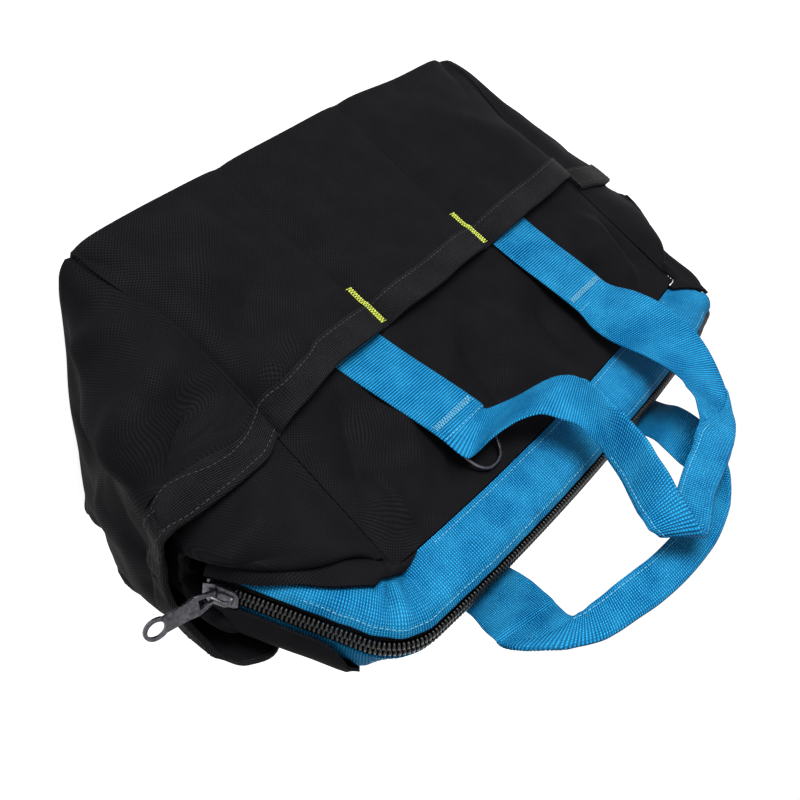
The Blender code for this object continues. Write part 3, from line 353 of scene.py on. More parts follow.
# Each row is a place and a bulge in mm. Places run from the front (-1) to the back (+1) of an end,
# and from the left (-1) to the right (+1) of a wall.
END_SWELL = {
    +1: ((-1.0, 12.0), (-0.9, 12.0), (-0.6, 8.5), (0.0, 8.0), (0.42, 4.0), (0.92, 6.0), (1.0, 9.0)),
    -1: ((-1.0, 13.0), (-0.9, 15.0), (-0.6, 12.0), (0.0, 8.0), (0.5, 7.0), (0.92, 6.0), (1.0, 5.0)),
}
WALL_SWELL = {
    -1: ((-1.0, -7.5), (-0.73, -6.8), (-0.35, -0.4), (0.0, 0.6), (0.42, 2.0), (0.8, 3.5), (1.0, 3.5)),
    +1: ((-1.0, 0.0), (-0.7, 1.5), (-0.35, 2.5), (0.0, 3.0), (0.42, 3.0), (0.8, 2.0), (1.0, 0.5)),
}
SWELL_HEIGHT = {+1: 0.062, -1: 0.075}
SEAM_PINCH_REACH = 7 * MM


def swell(rows, places):
    """Bulge in metres, read from a table of places and millimetres."""
    return smooth_table(*np.array(rows).T, places) * MM


def soften(points):
    """Rounds the bottom edges and corners of everything near the floor, and lets the base bulge."""
    points = np.array(points, float)
    x, y, z = points[..., 0], points[..., 1], points[..., 2]
    right, front = x > 0, y < 0
    low = np.clip(EDGE_ROUND - z, 0.0, EDGE_ROUND)
    inset = EDGE_ROUND - np.sqrt(np.maximum(EDGE_ROUND ** 2 - low ** 2, 0.0))
    u, v = np.abs(x) / (HALF_LENGTH + CLOTH), np.abs(y) / (HALF_DEPTH + CLOTH)
    power = np.where(right, BASE_CORNER_POWER[+1], BASE_CORNER_POWER[-1])
    bulge = (u ** power + v ** power) ** (1 / power) / np.maximum(np.maximum(u, v), 1e-6)
    plan = 1 + (1 / bulge - 1) * ease(1 - z / CORNER_FADE)
    along_end, along_wall = y / HALF_DEPTH, x / HALF_LENGTH
    near = ease(1 - z / np.where(right, SWELL_HEIGHT[+1], SWELL_HEIGHT[-1]))
    swell_x = np.where(right, swell(END_SWELL[+1], along_end), swell(END_SWELL[-1], along_end))
    swell_y = np.where(front, swell(WALL_SWELL[-1], along_wall), swell(WALL_SWELL[+1], along_wall))
    swell_x = swell_x * near * np.clip(u, 0, 1) ** 6
    swell_y = swell_y * near * np.clip(v, 0, 1) ** 6
    wider_x = plan * (1 - (inset - swell_x) / HALF_LENGTH * (u > 0.2))
    wider_y = plan * (1 - (inset - swell_y) / HALF_DEPTH * (v > 0.2))
    points[..., 0], points[..., 1] = x * wider_x, y * wider_y
    return points


def seam_pinch(depth, from_seam, rise):
    """How far a seam draws the cloth in beside it, and less so at the base."""
    return depth * np.exp(-(from_seam / SEAM_PINCH_REACH) ** 2) * (0.35 + 0.65 * ease(rise * 5))


corner_point = np.array((0.160, 0.100, 0.002))
print("base corner moves in by, mm:", np.round(1000 * (corner_point - soften(corner_point)), 1))

# %% [markdown]
# Folds of the long walls
# Between the pocket and the blue band the cloth hangs slack and buckles under the handles. Below, the
# pockets pull it nearly flat, with soft folds that run to the side seams. The back repeats the
# front's manner with its own folds.

# %% Folds of the long walls
WALL_FOLDS = {
    -1: (
        (0.118, 0.205, 0.082, 0.140, 0.0075, 0.0042), (0.098, 0.212, 0.062, 0.160, 0.0060, -0.0036),
        (0.148, 0.190, 0.112, 0.128, 0.0080, -0.0038), (0.140, 0.214, 0.128, 0.165, 0.0055, 0.0034),
        (0.030, 0.214, 0.018, 0.135, 0.0100, -0.0056), (0.002, 0.205, -0.014, 0.140, 0.0085, 0.0052),
        (0.066, 0.168, 0.020, 0.145, 0.0060, 0.0026), (-0.036, 0.212, -0.052, 0.150, 0.0090, -0.0046),
        (-0.120, 0.210, -0.140, 0.140, 0.0095, 0.0064), (-0.150, 0.205, -0.150, 0.150, 0.0070, -0.0056),
        (-0.098, 0.210, -0.118, 0.160, 0.0070, -0.0050), (0.150, 0.062, 0.085, 0.012, 0.0120, 0.0034),
        (0.156, 0.088, 0.104, 0.060, 0.0090, -0.0030), (0.156, 0.110, 0.110, 0.098, 0.0075, 0.0026),
        (-0.150, 0.090, -0.100, 0.030, 0.0140, 0.0026),
    ),
    +1: (
        (0.110, 0.208, 0.090, 0.140, 0.0085, 0.0040), (0.150, 0.195, 0.120, 0.130, 0.0080, -0.0036),
        (0.046, 0.212, 0.030, 0.135, 0.0090, -0.0034), (0.000, 0.210, 0.010, 0.140, 0.0095, 0.0034),
        (-0.050, 0.212, -0.030, 0.140, 0.0080, -0.0032), (-0.118, 0.208, -0.090, 0.145, 0.0085, 0.0042),
        (-0.152, 0.200, -0.135, 0.140, 0.0075, -0.0038), (-0.150, 0.080, -0.096, 0.020, 0.0130, 0.0030),
        (0.152, 0.085, 0.100, 0.030, 0.0120, -0.0028), (0.154, 0.112, 0.100, 0.100, 0.0080, 0.0026),
    ),
}


WALL_FOLD_GAIN, WALL_SLACK, WALL_SEAM_PINCH = 1.6, 0.0030, 0.0030
WALL_UNEVENNESS = ((0.034, 0.0011), (0.014, 0.00035))


def wall_relief(side, across, rise):
    """How far the long wall stands off its straight shape, with the seams and edges held."""
    x, z = across * HALF_LENGTH, rise * WALL_HEIGHT
    held = ease((1 - np.abs(across)) * 9) * ease(rise * 14) * ease((1 - rise) * 12)
    seed = 11 if side < 0 else 23
    small = unevenness(x, z, seed, WALL_UNEVENNESS)
    slack = WALL_SLACK * ease((rise - 0.60) * 5) * (1 - across ** 4)
    pinch = seam_pinch(WALL_SEAM_PINCH, (1 - np.abs(across)) * HALF_LENGTH, rise)
    return (fold_relief(x, z, WALL_FOLDS[side]) * WALL_FOLD_GAIN + small - slack) * held - pinch


def wall_surface(side, across, rise):
    """Points of the long wall with its folds."""
    out = wall_frame(side)[0]
    return wall_point(side, across, rise) + out * wall_relief(side, across, rise)[..., None]


sample = wall_relief(-1, *np.meshgrid(np.linspace(-1, 1, 90), np.linspace(0, 1, 60)))
print("front wall folds, mm:", np.round([1000 * sample.min(), 1000 * sample.max()], 1))

# %% [markdown]
# Folds of the end panels
# The ends are the softest part: the seam pulls creases into the bulge, and the pocket's cloth breaks
# into facets between the base and its drooping mouth.

# %% Folds of the end panels
END_HALF_WIDTH = 0.105
END_FOLD_GAIN, END_SEAM_PINCH = {+1: 1.15, -1: 0.6}, 0.0026
END_UNEVENNESS = ((0.026, 0.0014), (0.011, 0.0004))
END_FOLDS = {
    +1: (
        (-0.100, 0.066, -0.046, 0.084, 0.0075, 0.0062), (-0.100, 0.084, -0.040, 0.112, 0.0085, -0.0056),
        (-0.101, 0.050, -0.050, 0.022, 0.0100, 0.0052), (-0.062, 0.104, -0.030, 0.034, 0.0090, 0.0064),
        (-0.036, 0.090, 0.006, 0.010, 0.0100, -0.0058), (0.010, 0.112, 0.028, 0.040, 0.0110, 0.0050),
        (0.030, 0.135, 0.066, 0.040, 0.0200, 0.0028), (0.060, 0.120, 0.062, 0.030, 0.0060, -0.0036),
        (0.098, 0.086, 0.050, 0.060, 0.0080, 0.0050), (0.092, -0.010, 0.090, 0.058, 0.0140, 0.0050),
        (-0.098, 0.112, -0.058, 0.124, 0.0060, 0.0036), (-0.094, 0.150, -0.040, 0.186, 0.0080, 0.0036),
        (-0.084, 0.182, -0.030, 0.168, 0.0070, -0.0030), (0.090, 0.160, 0.036, 0.184, 0.0080, 0.0036),
    ),
    -1: (
        (-0.070, 0.005, -0.066, 0.100, 0.0180, -0.0080), (-0.098, 0.088, -0.044, 0.106, 0.0080, -0.0036),
        (-0.052, 0.110, -0.020, 0.020, 0.0100, 0.0052), (-0.012, 0.100, 0.020, 0.016, 0.0100, -0.0050),
        (0.034, 0.110, 0.048, 0.030, 0.0090, 0.0050), (0.100, 0.070, 0.056, 0.050, 0.0080, 0.0044),
        (0.096, 0.104, 0.050, 0.112, 0.0070, -0.0036), (-0.092, 0.140, -0.040, 0.184, 0.0140, -0.0050),
        (0.092, 0.156, 0.036, 0.180, 0.0080, 0.0036),
    ),
}


def end_relief(end, places, rows):
    """How far an end panel stands off its smooth shape, on a grid of places and rows."""
    p, r = np.meshgrid(places, rows, indexing="ij")
    u, v = p * END_HALF_WIDTH, r * WALL_HEIGHT
    held = ease((1 - np.abs(p)) * (10 if end > 0 else 3)) * ease(r * 12) * ease((1 - r) * 8)
    seed = 41 if end > 0 else 57
    small = unevenness(u, v, seed, END_UNEVENNESS)
    pinch = seam_pinch(END_SEAM_PINCH, (1 - np.abs(p)) * END_HALF_WIDTH, r)
    return (fold_relief(u, v, END_FOLDS[end]) * END_FOLD_GAIN[end] + small) * held - pinch


def grid_normals(grid, flip):
    """Unit normals of a grid of points."""
    return unit(np.cross(np.gradient(grid, axis=0), np.gradient(grid, axis=1))) * flip


def end_surface(end, places, rows):
    """Points of an end panel with its folds."""
    grid = end_grid(end, places, rows)
    return grid + grid_normals(grid, end) * end_relief(end, places, rows)[..., None]


sample = end_relief(+1, np.linspace(-1, 1, 90), np.linspace(0, 1, 60))
print("end panel folds, mm:", np.round([1000 * sample.min(), 1000 * sample.max()], 1))

# %% [markdown]
# Finishes
# Every finish starts from the real material. Cloth and webbing read a UV map that holds real metres
# along and across the cloth, so the weave follows each piece through its folds.

# %% Colour and node helpers
def linear(code):
    """An sRGB hex colour as linear red, green, blue and alpha."""
    parts = [int(code[i:i + 2], 16) / 255 for i in (1, 3, 5)]
    return tuple(c / 12.92 if c <= 0.04045 else ((c + 0.055) / 1.055) ** 2.4 for c in parts) + (1.0,)


def add_node(tree, kind, links=None, **settings):
    """Adds a node, sets its properties, and fills its inputs with links or values."""
    made = tree.nodes.new(kind)
    for name, value in settings.items():
        setattr(made, name, value)
    for socket, value in (links or {}).items():
        if isinstance(value, bpy.types.NodeSocket):
            tree.links.new(value, made.inputs[socket])
        else:
            made.inputs[socket].default_value = value
    return made


def new_finish(name, **shader_values):
    """A material with its Principled shader, and the values set on the shader's own sockets."""
    finish = bpy.data.materials.new(name)
    finish.use_nodes = True
    shader = finish.node_tree.nodes["Principled BSDF"]
    for socket, value in shader_values.items():
        shader.inputs[socket.replace("_", " ")].default_value = value
    return finish, finish.node_tree, shader


print("webbing blue, linear:", [round(c, 3) for c in linear("#2a93cf")])

# %% Pattern helpers
def wave(tree, distance, pitch, power=1.0):
    """A rounded ridge every pitch along a distance: 0 in the grooves and 1 on the crests."""
    turned = add_node(tree, "ShaderNodeMath", {0: distance, 1: math.pi / pitch}, operation="MULTIPLY")
    sine = add_node(tree, "ShaderNodeMath", {0: turned.outputs[0]}, operation="SINE")
    size = add_node(tree, "ShaderNodeMath", {0: sine.outputs[0]}, operation="ABSOLUTE")
    return add_node(tree, "ShaderNodeMath", {0: size.outputs[0], 1: power}, operation="POWER").outputs[0]


def cloth_places(tree):
    """Metres across and along a cloth piece, from its UV map."""
    places = add_node(tree, "ShaderNodeUVMap", uv_map="cloth")
    parts = add_node(tree, "ShaderNodeSeparateXYZ", {0: places.outputs[0]})
    return places.outputs[0], parts.outputs[0], parts.outputs[1]


def uneven(tree, vector, scale, low, high, detail=3.0):
    """Cloudy unevenness between two values."""
    clouds = add_node(tree, "ShaderNodeTexNoise", {"Vector": vector, "Scale": scale, "Detail": detail})
    levels = {0: clouds.outputs[0], 1: 0.3, 2: 0.7, 3: low, 4: high}
    return add_node(tree, "ShaderNodeMapRange", levels).outputs[0]


def multiply(tree, first, second):
    """Product of two values."""
    return add_node(tree, "ShaderNodeMath", {0: first, 1: second}, operation="MULTIPLY").outputs[0]


def mix_colours(tree, share, low, high):
    """A colour between two, by a share."""
    mixed = add_node(tree, "ShaderNodeMix", {0: share, 6: low, 7: high}, data_type="RGBA")
    return mixed.outputs[2]


def bump(tree, shader, height, distance, strength=1.0):
    """Feeds a height to the shader's normal."""
    made = add_node(tree, "ShaderNodeBump", {"Height": height, "Distance": distance, "Strength": strength})
    tree.links.new(made.outputs[0], shader.inputs["Normal"])


print("pattern helpers ready")

# %% [markdown]
# Black Oxford cloth
# Coated polyester Oxford, woven flat from pairs of thick yarns. The eye sees a near black with tiny
# dots in rows, and a faint dull gloss where a fold turns to the light. The dots are painted: a painted
# highlight on the yarn crests and painted shade in the hollows between them. The real rows are about
# 0.7 mm apart. They are drawn about 1 mm apart, because finer rows would beat against the picture's own
# pixels.

# %% Black Oxford cloth
YARN = 1.9 * MM


def make_oxford(name, dark, light):
    """Plain-woven cloth: the crests of the two sets of yarns alternate like a chessboard, with a painted
    highlight on the crests and painted shade in the hollows.
    """
    finish, tree, shader = new_finish(name, IOR=1.5, Specular_IOR_Level=0.04)
    vector, across, length = cloth_places(tree)
    waves = []
    for axis in (across, length):
        turned = multiply(tree, axis, 2 * math.pi / YARN)
        waves.append(add_node(tree, "ShaderNodeMath", {0: turned}, operation="SINE").outputs[0])
    dots = add_node(tree, "ShaderNodeMapRange", {0: multiply(tree, *waves), 1: -0.9, 2: 0.9}).outputs[0]
    patchy = uneven(tree, vector, 60.0, 0.7, 1.15)
    share = multiply(tree, dots, patchy)
    # Painted highlight and painted shade: the yarn crests get the light colour and the hollows get the dark
    # one.
    tree.links.new(mix_colours(tree, share, linear(dark), linear(light)), shader.inputs["Base Color"])
    rough = add_node(tree, "ShaderNodeMapRange", {0: share, 3: 0.9, 4: 0.62})
    tree.links.new(rough.outputs[0], shader.inputs["Roughness"])
    bump(tree, shader, dots, 0.06 * MM, 1.0)
    return finish


black_cloth = make_oxford("black_polyester_oxford", "#08080a", "#151518")
print("yarn spacing, mm:", YARN * 1000)

# %% [markdown]
# Blue webbing
# Polypropylene webbing, woven narrow with thick weft picks 1.5 mm apart. It shows bright rounded ribs
# across its width, broken into cells by the warp, with dark points between them and a soft plastic
# sheen. The bright crests are a painted highlight, and the dark grooves and points are painted shade.
# The ribbed binding and the zipper's tape are woven the same way from thin polyester. Their real ribs
# are about 0.6 mm apart, and they are drawn 0.9 to 1.15 mm apart so that they show.

# %% Blue webbing
WEFT_PITCH, WARP_PITCH = 1.5 * MM, 1.3 * MM


def make_webbing(name, groove, rib, crest, weft=WEFT_PITCH, warp=WARP_PITCH, gloss=0.05, cut=0.6):
    """Ribs across the width, cut into cells along the length, with painted shade in the grooves and a painted
    highlight on the crests.
    """
    finish, tree, shader = new_finish(name, Roughness=0.55, IOR=1.49, Specular_IOR_Level=gloss)
    vector, across, length = cloth_places(tree)
    ribs = wave(tree, length, weft, 1.2)
    dents = wave(tree, across, warp, 0.8)
    cells = add_node(tree, "ShaderNodeMapRange", {0: dents, 3: 1 - cut, 4: 1.0}).outputs[0]
    height = multiply(tree, ribs, cells)
    fibre = uneven(tree, vector, 900.0, 0.86, 1.08, 2.0)
    level = multiply(tree, height, fibre)
    # Painted shade: the grooves and the dark points between cells take the dark groove colour.
    body = mix_colours(tree, level, linear(groove), linear(rib))
    # Painted highlight: the tops of the ribs, plus random patches, are pushed towards the light crest colour.
    top = add_node(tree, "ShaderNodeMapRange", {0: level, 1: 0.72, 2: 1.0, 3: 0.0, 4: 0.55}).outputs[0]
    shade = uneven(tree, vector, 45.0, 0.0, 0.22)
    painted_crest_highlight = add_node(tree, "ShaderNodeMath", {0: top, 1: shade}, operation="ADD").outputs[0]
    tree.links.new(mix_colours(tree, painted_crest_highlight, body, linear(crest)), shader.inputs["Base Color"])
    bump(tree, shader, height, 0.5 * MM, 1.0)
    return finish


# Each call's three colours are the painted shade in the grooves, the webbing's own colour, and the painted
# highlight on the crests.
blue_webbing = make_webbing("blue_polypropylene_webbing", "#001a34", "#047cbe", "#40bdf0")
black_tape = make_webbing("black_grosgrain_tape", "#030303", "#1a1a1c", "#2d2d30",
                          weft=1.15 * MM, warp=1.6 * MM, gloss=0.04)
zipper_tape = make_webbing("black_woven_zipper_tape", "#060606", "#171718", "#202022",
                           weft=0.9 * MM, warp=0.9 * MM, gloss=0.03)
print("weft ribs per 10 mm:", round(10 * MM / WEFT_PITCH, 1))

# %% [markdown]
# Nylon, metal, thread and board
# The coil is glossy moulded nylon, the slider, tab and ring are black-plated zinc with faint rubbed
# patches, and the threads are twisted polyester.

# %% Hard finishes and threads
def make_plated(name):
    """Black nickel plating: dark mirror-like metal with faint rubbed patches."""
    finish, tree, shader = new_finish(name, Metallic=1.0)
    place = add_node(tree, "ShaderNodeTexCoord").outputs["Object"]
    rub = uneven(tree, place, 420.0, 0.0, 1.0)
    tree.links.new(mix_colours(tree, rub, linear("#3c3c40"), linear("#5e5e64")), shader.inputs["Base Color"])
    rough = uneven(tree, place, 900.0, 0.22, 0.42)
    tree.links.new(rough, shader.inputs["Roughness"])
    bump(tree, shader, uneven(tree, place, 1500.0, 0.0, 1.0), 0.03 * MM, 0.4)
    return finish


def make_moulded(name, dark, light, roughness, gloss=0.5):
    """Moulded or spun plastic with slight colour drift."""
    finish, tree, shader = new_finish(name, Roughness=roughness, IOR=1.53, Specular_IOR_Level=gloss)
    place = add_node(tree, "ShaderNodeTexCoord").outputs["Object"]
    drift = uneven(tree, place, 500.0, 0.0, 1.0)
    tree.links.new(mix_colours(tree, drift, linear(dark), linear(light)), shader.inputs["Base Color"])
    bump(tree, shader, uneven(tree, place, 2400.0, 0.0, 1.0), 0.05 * MM, 0.5)
    return finish


black_metal = make_plated("black_nickel_plated_zinc")
black_nylon = make_moulded("black_moulded_nylon", "#0c0c0d", "#1a1a1c", 0.3, 0.3)
black_thread = make_moulded("black_polyester_thread", "#0c0c0d", "#18181a", 0.6, 0.05)
grey_thread = make_moulded("charcoal_polyester_thread", "#2a2a2c", "#444447", 0.6, 0.1)
pale_thread = make_moulded("pale_blue_polyester_thread", "#58a9c8", "#86c6da", 0.55)
lime_thread = make_moulded("lime_polyester_thread", "#b4c23a", "#d6e063", 0.55)
grey_board = make_moulded("grey_polyethylene_board", "#3a3a3c", "#48484a", 0.5, 0.2)
print("finishes:", len(bpy.data.materials))

# %% [markdown]
# Making cloth pieces
# A cloth piece is a grid of points with an outer and an inner face and a closed rim. The UV map is
# measured on the grid itself, in metres, so the weave keeps its size wherever the cloth bulges.

# %% Cloth piece maker
def cloth_map(grid):
    """Metres along both ways of a grid, measured at each place from its middle row and first column."""
    first = np.linalg.norm(np.diff(grid, axis=0), axis=2)
    second = np.linalg.norm(np.diff(grid, axis=1), axis=2)
    u = np.concatenate([np.zeros((1, grid.shape[1])), np.cumsum(first, axis=0)])
    v = np.concatenate([np.zeros((grid.shape[0], 1)), np.cumsum(second, axis=1)], axis=1)
    return np.stack([u - u[grid.shape[0] // 2], v], axis=-1)


def mesh_object(name, points, faces, finish, uv=None, sharp=50.0):
    """A smooth-shaded mesh object at the origin, with its UV map in metres."""
    mesh = bpy.data.meshes.new(name)
    mesh.from_pydata(np.asarray(points, float).tolist(), [], faces)
    mesh.materials.append(finish)
    if uv is not None:
        layer = mesh.uv_layers.new(name="cloth")
        corners = np.zeros(len(mesh.loops), int)
        mesh.loops.foreach_get("vertex_index", corners)
        layer.data.foreach_set("uv", np.asarray(uv, float)[corners].ravel())
    mesh.shade_smooth()
    mesh.set_sharp_from_angle(angle=math.radians(sharp))
    item = bpy.data.objects.new(name, mesh)
    bpy.context.scene.collection.objects.link(item)
    return item


def dress(item, body, slot, *nodes):
    """Rides the piece on its body and hides the solids that it stands for. The slot is not used."""
    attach(item, body)
    if nodes:
        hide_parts(*nodes)
    return item


def sheet_mesh(name, grid, inner, outer, flip, finish, uv=None, soft=False):
    """A closed sheet between two heights above a grid of points. Returns it and its outer face."""
    rows, columns = grid.shape[:2]
    normals = grid_normals(grid, flip)
    inner = np.broadcast_to(np.asarray(inner, float), (rows, columns))[..., None]
    outer = np.broadcast_to(np.asarray(outer, float), (rows, columns))[..., None]
    faces_of = [grid + normals * level for level in (outer, inner)]
    if soft:
        faces_of = [soften(face) for face in faces_of]
    points = np.concatenate([face.reshape(-1, 3) for face in faces_of])
    uv = cloth_map(grid) if uv is None else uv
    uvs = np.concatenate([uv.reshape(-1, 2)] * 2)
    below = rows * columns
    a = (np.arange(rows - 1)[:, None] * columns + np.arange(columns - 1)).ravel()
    quads = np.stack([a, a + columns, a + columns + 1, a + 1], axis=1)
    rim = [i * columns for i in range(rows)] + [(rows - 1) * columns + j for j in range(1, columns)]
    rim += [i * columns + columns - 1 for i in range(rows - 2, -1, -1)] + list(range(columns - 2, 0, -1))
    edge = [(first, first + below, second + below, second) for first, second in zip(rim, rim[1:] + rim[:1])]
    if flip > 0:
        outer_faces, inner_faces, rim_faces = quads, quads[:, ::-1] + below, edge
    else:
        outer_faces, inner_faces, rim_faces = quads[:, ::-1], quads + below, [face[::-1] for face in edge]
    faces = outer_faces.tolist() + inner_faces.tolist() + rim_faces
    return mesh_object(name, points, faces, finish, uvs), faces_of[0]


print("cloth maker ready")

# %% [markdown]
# Base, board and walls
# The base is one cloth panel whose corners are rounded over the stiff board. The board lies inside on
# the cloth and takes the same soft outline, so that its edge stays within the walls.

# %% Base panel and board
board_low, board_high = (np.array(corner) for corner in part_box("base_board"))
spread = np.sin(np.linspace(-0.5, 0.5, 41) * math.pi)
board_grid = np.stack([*np.meshgrid(spread * board_high[0], spread * board_high[1], indexing="ij"),
                       np.full((41, 41), board_low[2])], axis=-1)
board_thickness = board_high[2] - board_low[2]
board = sheet_mesh("base_board_sheet", board_grid, 0.0, board_thickness, 1.0, grey_board, soft=True)[0]
dress(board, "bag", "grey_board", "base_board")
base_x = np.sin(np.linspace(-0.5, 0.5, 65) * math.pi) * HALF_LENGTH
base_y = np.sin(np.linspace(-0.5, 0.5, 41) * math.pi) * HALF_DEPTH
base_grid = np.stack([*np.meshgrid(base_x, base_y, indexing="ij"), np.zeros((65, 41))], axis=-1)
base_piece = sheet_mesh("base_cloth", base_grid, -CLOTH, 0.0, -1.0, black_cloth, soft=True)[0]
dress(base_piece, "bag", "black_cloth", "base_panel")
print("base faces:", len(base_piece.data.polygons))

# %% Long walls
wall_across = np.sin(np.linspace(-0.5, 0.5, 181) * math.pi) * 0.998
wall_rise = np.linspace(0.0, 0.996, 111)
for side, name in ((-1, "front"), (+1, "back")):
    grid = wall_surface(side, wall_across[:, None], wall_rise[None, :])
    wall = sheet_mesh(name + "_wall_cloth", grid, 0.0, CLOTH, -side, black_cloth, soft=True)[0]
    dress(wall, "bag", "black_cloth", name + "_panel")
print("wall faces:", len(wall.data.polygons))

# %% End panels
end_places = np.sin(np.linspace(-0.5, 0.5, 121) * math.pi) * 0.996
mouth = END_ROW_SHARES[2]
end_rows = np.concatenate([np.linspace(0.0, mouth, 61), np.linspace(mouth, 0.997, 51)[1:]])
for end, name in ((+1, "right"), (-1, "left")):
    grid = end_surface(end, end_places, end_rows)
    panel = sheet_mesh("end_cloth_" + name, grid, 0.0, CLOTH, end, black_cloth, soft=True)[0]
    dress(panel, "bag", "black_cloth", "end_panel_" + name)
print("end panel faces:", len(panel.data.polygons))

# %% [markdown]
# Slip pockets
# A pocket is a second sheet that stands off the wall by its slack and is stitched down at the seams
# and dividers. Its mouth is bound with ribbed tape, which is folded over the raw edge.

# %% Pocket shapes
def pocket_edges():
    """Stitched edges of a long pocket: both seams and the two dividers."""
    rise = POCKET_HEIGHT / WALL_HEIGHT
    return (float(seam_x(-1, rise)), -DIVIDER_SPACING / 2, DIVIDER_SPACING / 2, float(seam_x(+1, rise)))


EDGES = pocket_edges()


COMPARTMENT_POWER = 7


def compartment_shape(x):
    """How far a pocket may stand off at x: 0 at its stitched edges, 1 between them."""
    total = np.zeros_like(x)
    for low, high in zip(EDGES[:-1], EDGES[1:]):
        inside = (x > low + DIVIDER_FLAT) & (x < high - DIVIDER_FLAT)
        place = (x - (low + high) / 2) / ((high - low) / 2 - DIVIDER_FLAT)
        total = np.where(inside, 1 - np.abs(place) ** COMPARTMENT_POWER, total)
    return np.clip(total, 0.0, 1.0)


def pocket_rise(x):
    """How far the pocket's mouth turns up towards the right-hand seam."""
    return POCKET_TURN_UP * np.clip((x - EDGES[2]) / (EDGES[3] - EDGES[2]), 0.0, 1.0) ** 3


def evened(vectors, reach=4):
    """Unit vectors averaged with their neighbours along a row."""
    padded = np.concatenate([vectors[:1]] * reach + [vectors] + [vectors[-1:]] * reach)
    return unit(sum(padded[k:k + len(vectors)] for k in range(2 * reach + 1)))


def bound_edge(name, face, normals, finish, over):
    """Tape folded over the last row of a pocket's outer face, with a rounded turn."""
    rows = []
    turn_steps = 6
    normals = evened(normals)
    down = evened(face[:, -3] - face[:, -1])
    half = CLOTH / 2 + over
    centre = face[:, -1] - normals[:, -1] * CLOTH / 2
    for k in range(face.shape[1]):
        rows.append(face[:, k] + normals[:, k] * over)
    for k in range(1, turn_steps + 1):
        angle = math.pi * k / turn_steps
        rows.append(centre + normals[:, -1] * half * math.cos(angle) - down * half * 0.8 * math.sin(angle))
    rows.append(rows[-1] + down * 0.6 * MM)
    grid = np.stack(rows, axis=1)
    return sheet_mesh(name, grid, -BINDING_THICKNESS / 2, BINDING_THICKNESS / 2, 1.0, finish)


print("pocket edges, mm:", [round(1000 * x, 1) for x in EDGES])

# %% Long pockets
STITCH_LINES = {"tape": [], "divider": [], "pale": [], "pale_front": [], "pale_back": []}
PLAIN_ROWS, TAPE_ROWS = 60, 9
POCKET_STANDOFF, POCKET_WOBBLE = 0.0018, 0.0016
first_taped = PLAIN_ROWS - 1
columns = []
for low, high in zip(EDGES[:-1], EDGES[1:]):
    spread = (1 - np.cos(np.linspace(0.0, math.pi, 57))) / 2
    columns.append(blend(low, high, spread[:-1]))
columns = np.concatenate(columns + [[EDGES[3] - 0.2 * MM]])
columns[0] += 0.2 * MM
bound = POCKET_HEIGHT - BINDING_WIDTH
heights = np.concatenate([np.linspace(FLOOR_TOP, bound, PLAIN_ROWS),
                          np.linspace(bound, POCKET_HEIGHT, TAPE_ROWS)[1:]])
pocket_faces = {}
for side, name in ((-1, "front"), (+1, "back")):
    z = heights[None, :] + pocket_rise(columns)[:, None] * (heights[None, :] / POCKET_HEIGHT) ** 2
    across = 2 * (columns - EDGES[0]) / (EDGES[3] - EDGES[0]) - 1
    rise = (z - FLOOR_TOP) / (WALL_HEIGHT - FLOOR_TOP)
    grid = wall_surface(side, np.broadcast_to(across[:, None], rise.shape), rise)
    share = heights / POCKET_HEIGHT
    wobble = POCKET_WOBBLE * lattice_noise(columns[:, None], z, 0.030, 71 + side) * ease(share[None, :] * 2)
    slack = POCKET_SLACK * share[None, :] ** 2 * 0.8 + POCKET_STANDOFF + wobble
    inner = CLOTH + CLOTH_GAP + np.maximum(slack, 0.0) * compartment_shape(columns)[:, None]
    pocket, face = sheet_mesh(name + "_pocket_cloth", grid, inner, inner + CLOTH, -side, black_cloth,
                              soft=True)
    dress(pocket, "bag", "black_cloth", name + "_pocket")
    normals = grid_normals(face, -side)
    pocket_faces[side] = (face, normals)
    way = slice(None) if side < 0 else slice(None, None, -1)
    tape = bound_edge(name + "_pocket_tape", face[way, first_taped:], normals[way, first_taped:],
                      black_tape, CLOTH_GAP + BINDING_THICKNESS / 2)[0]
    dress(tape, "bag", "black_tape", name + "_pocket_binding")
    lift = normals * (BINDING_THICKNESS + CLOTH_GAP + 0.1 * MM)
    STITCH_LINES["tape"].append((face + lift)[2:-2, first_taped + 1])
    for divider in (EDGES[1], EDGES[2]):
        column = int(np.argmin(np.abs(columns - divider)))
        STITCH_LINES["divider"].append((face + normals * 0.1 * MM)[column, 2:46])
print("pocket faces:", len(pocket.data.polygons))

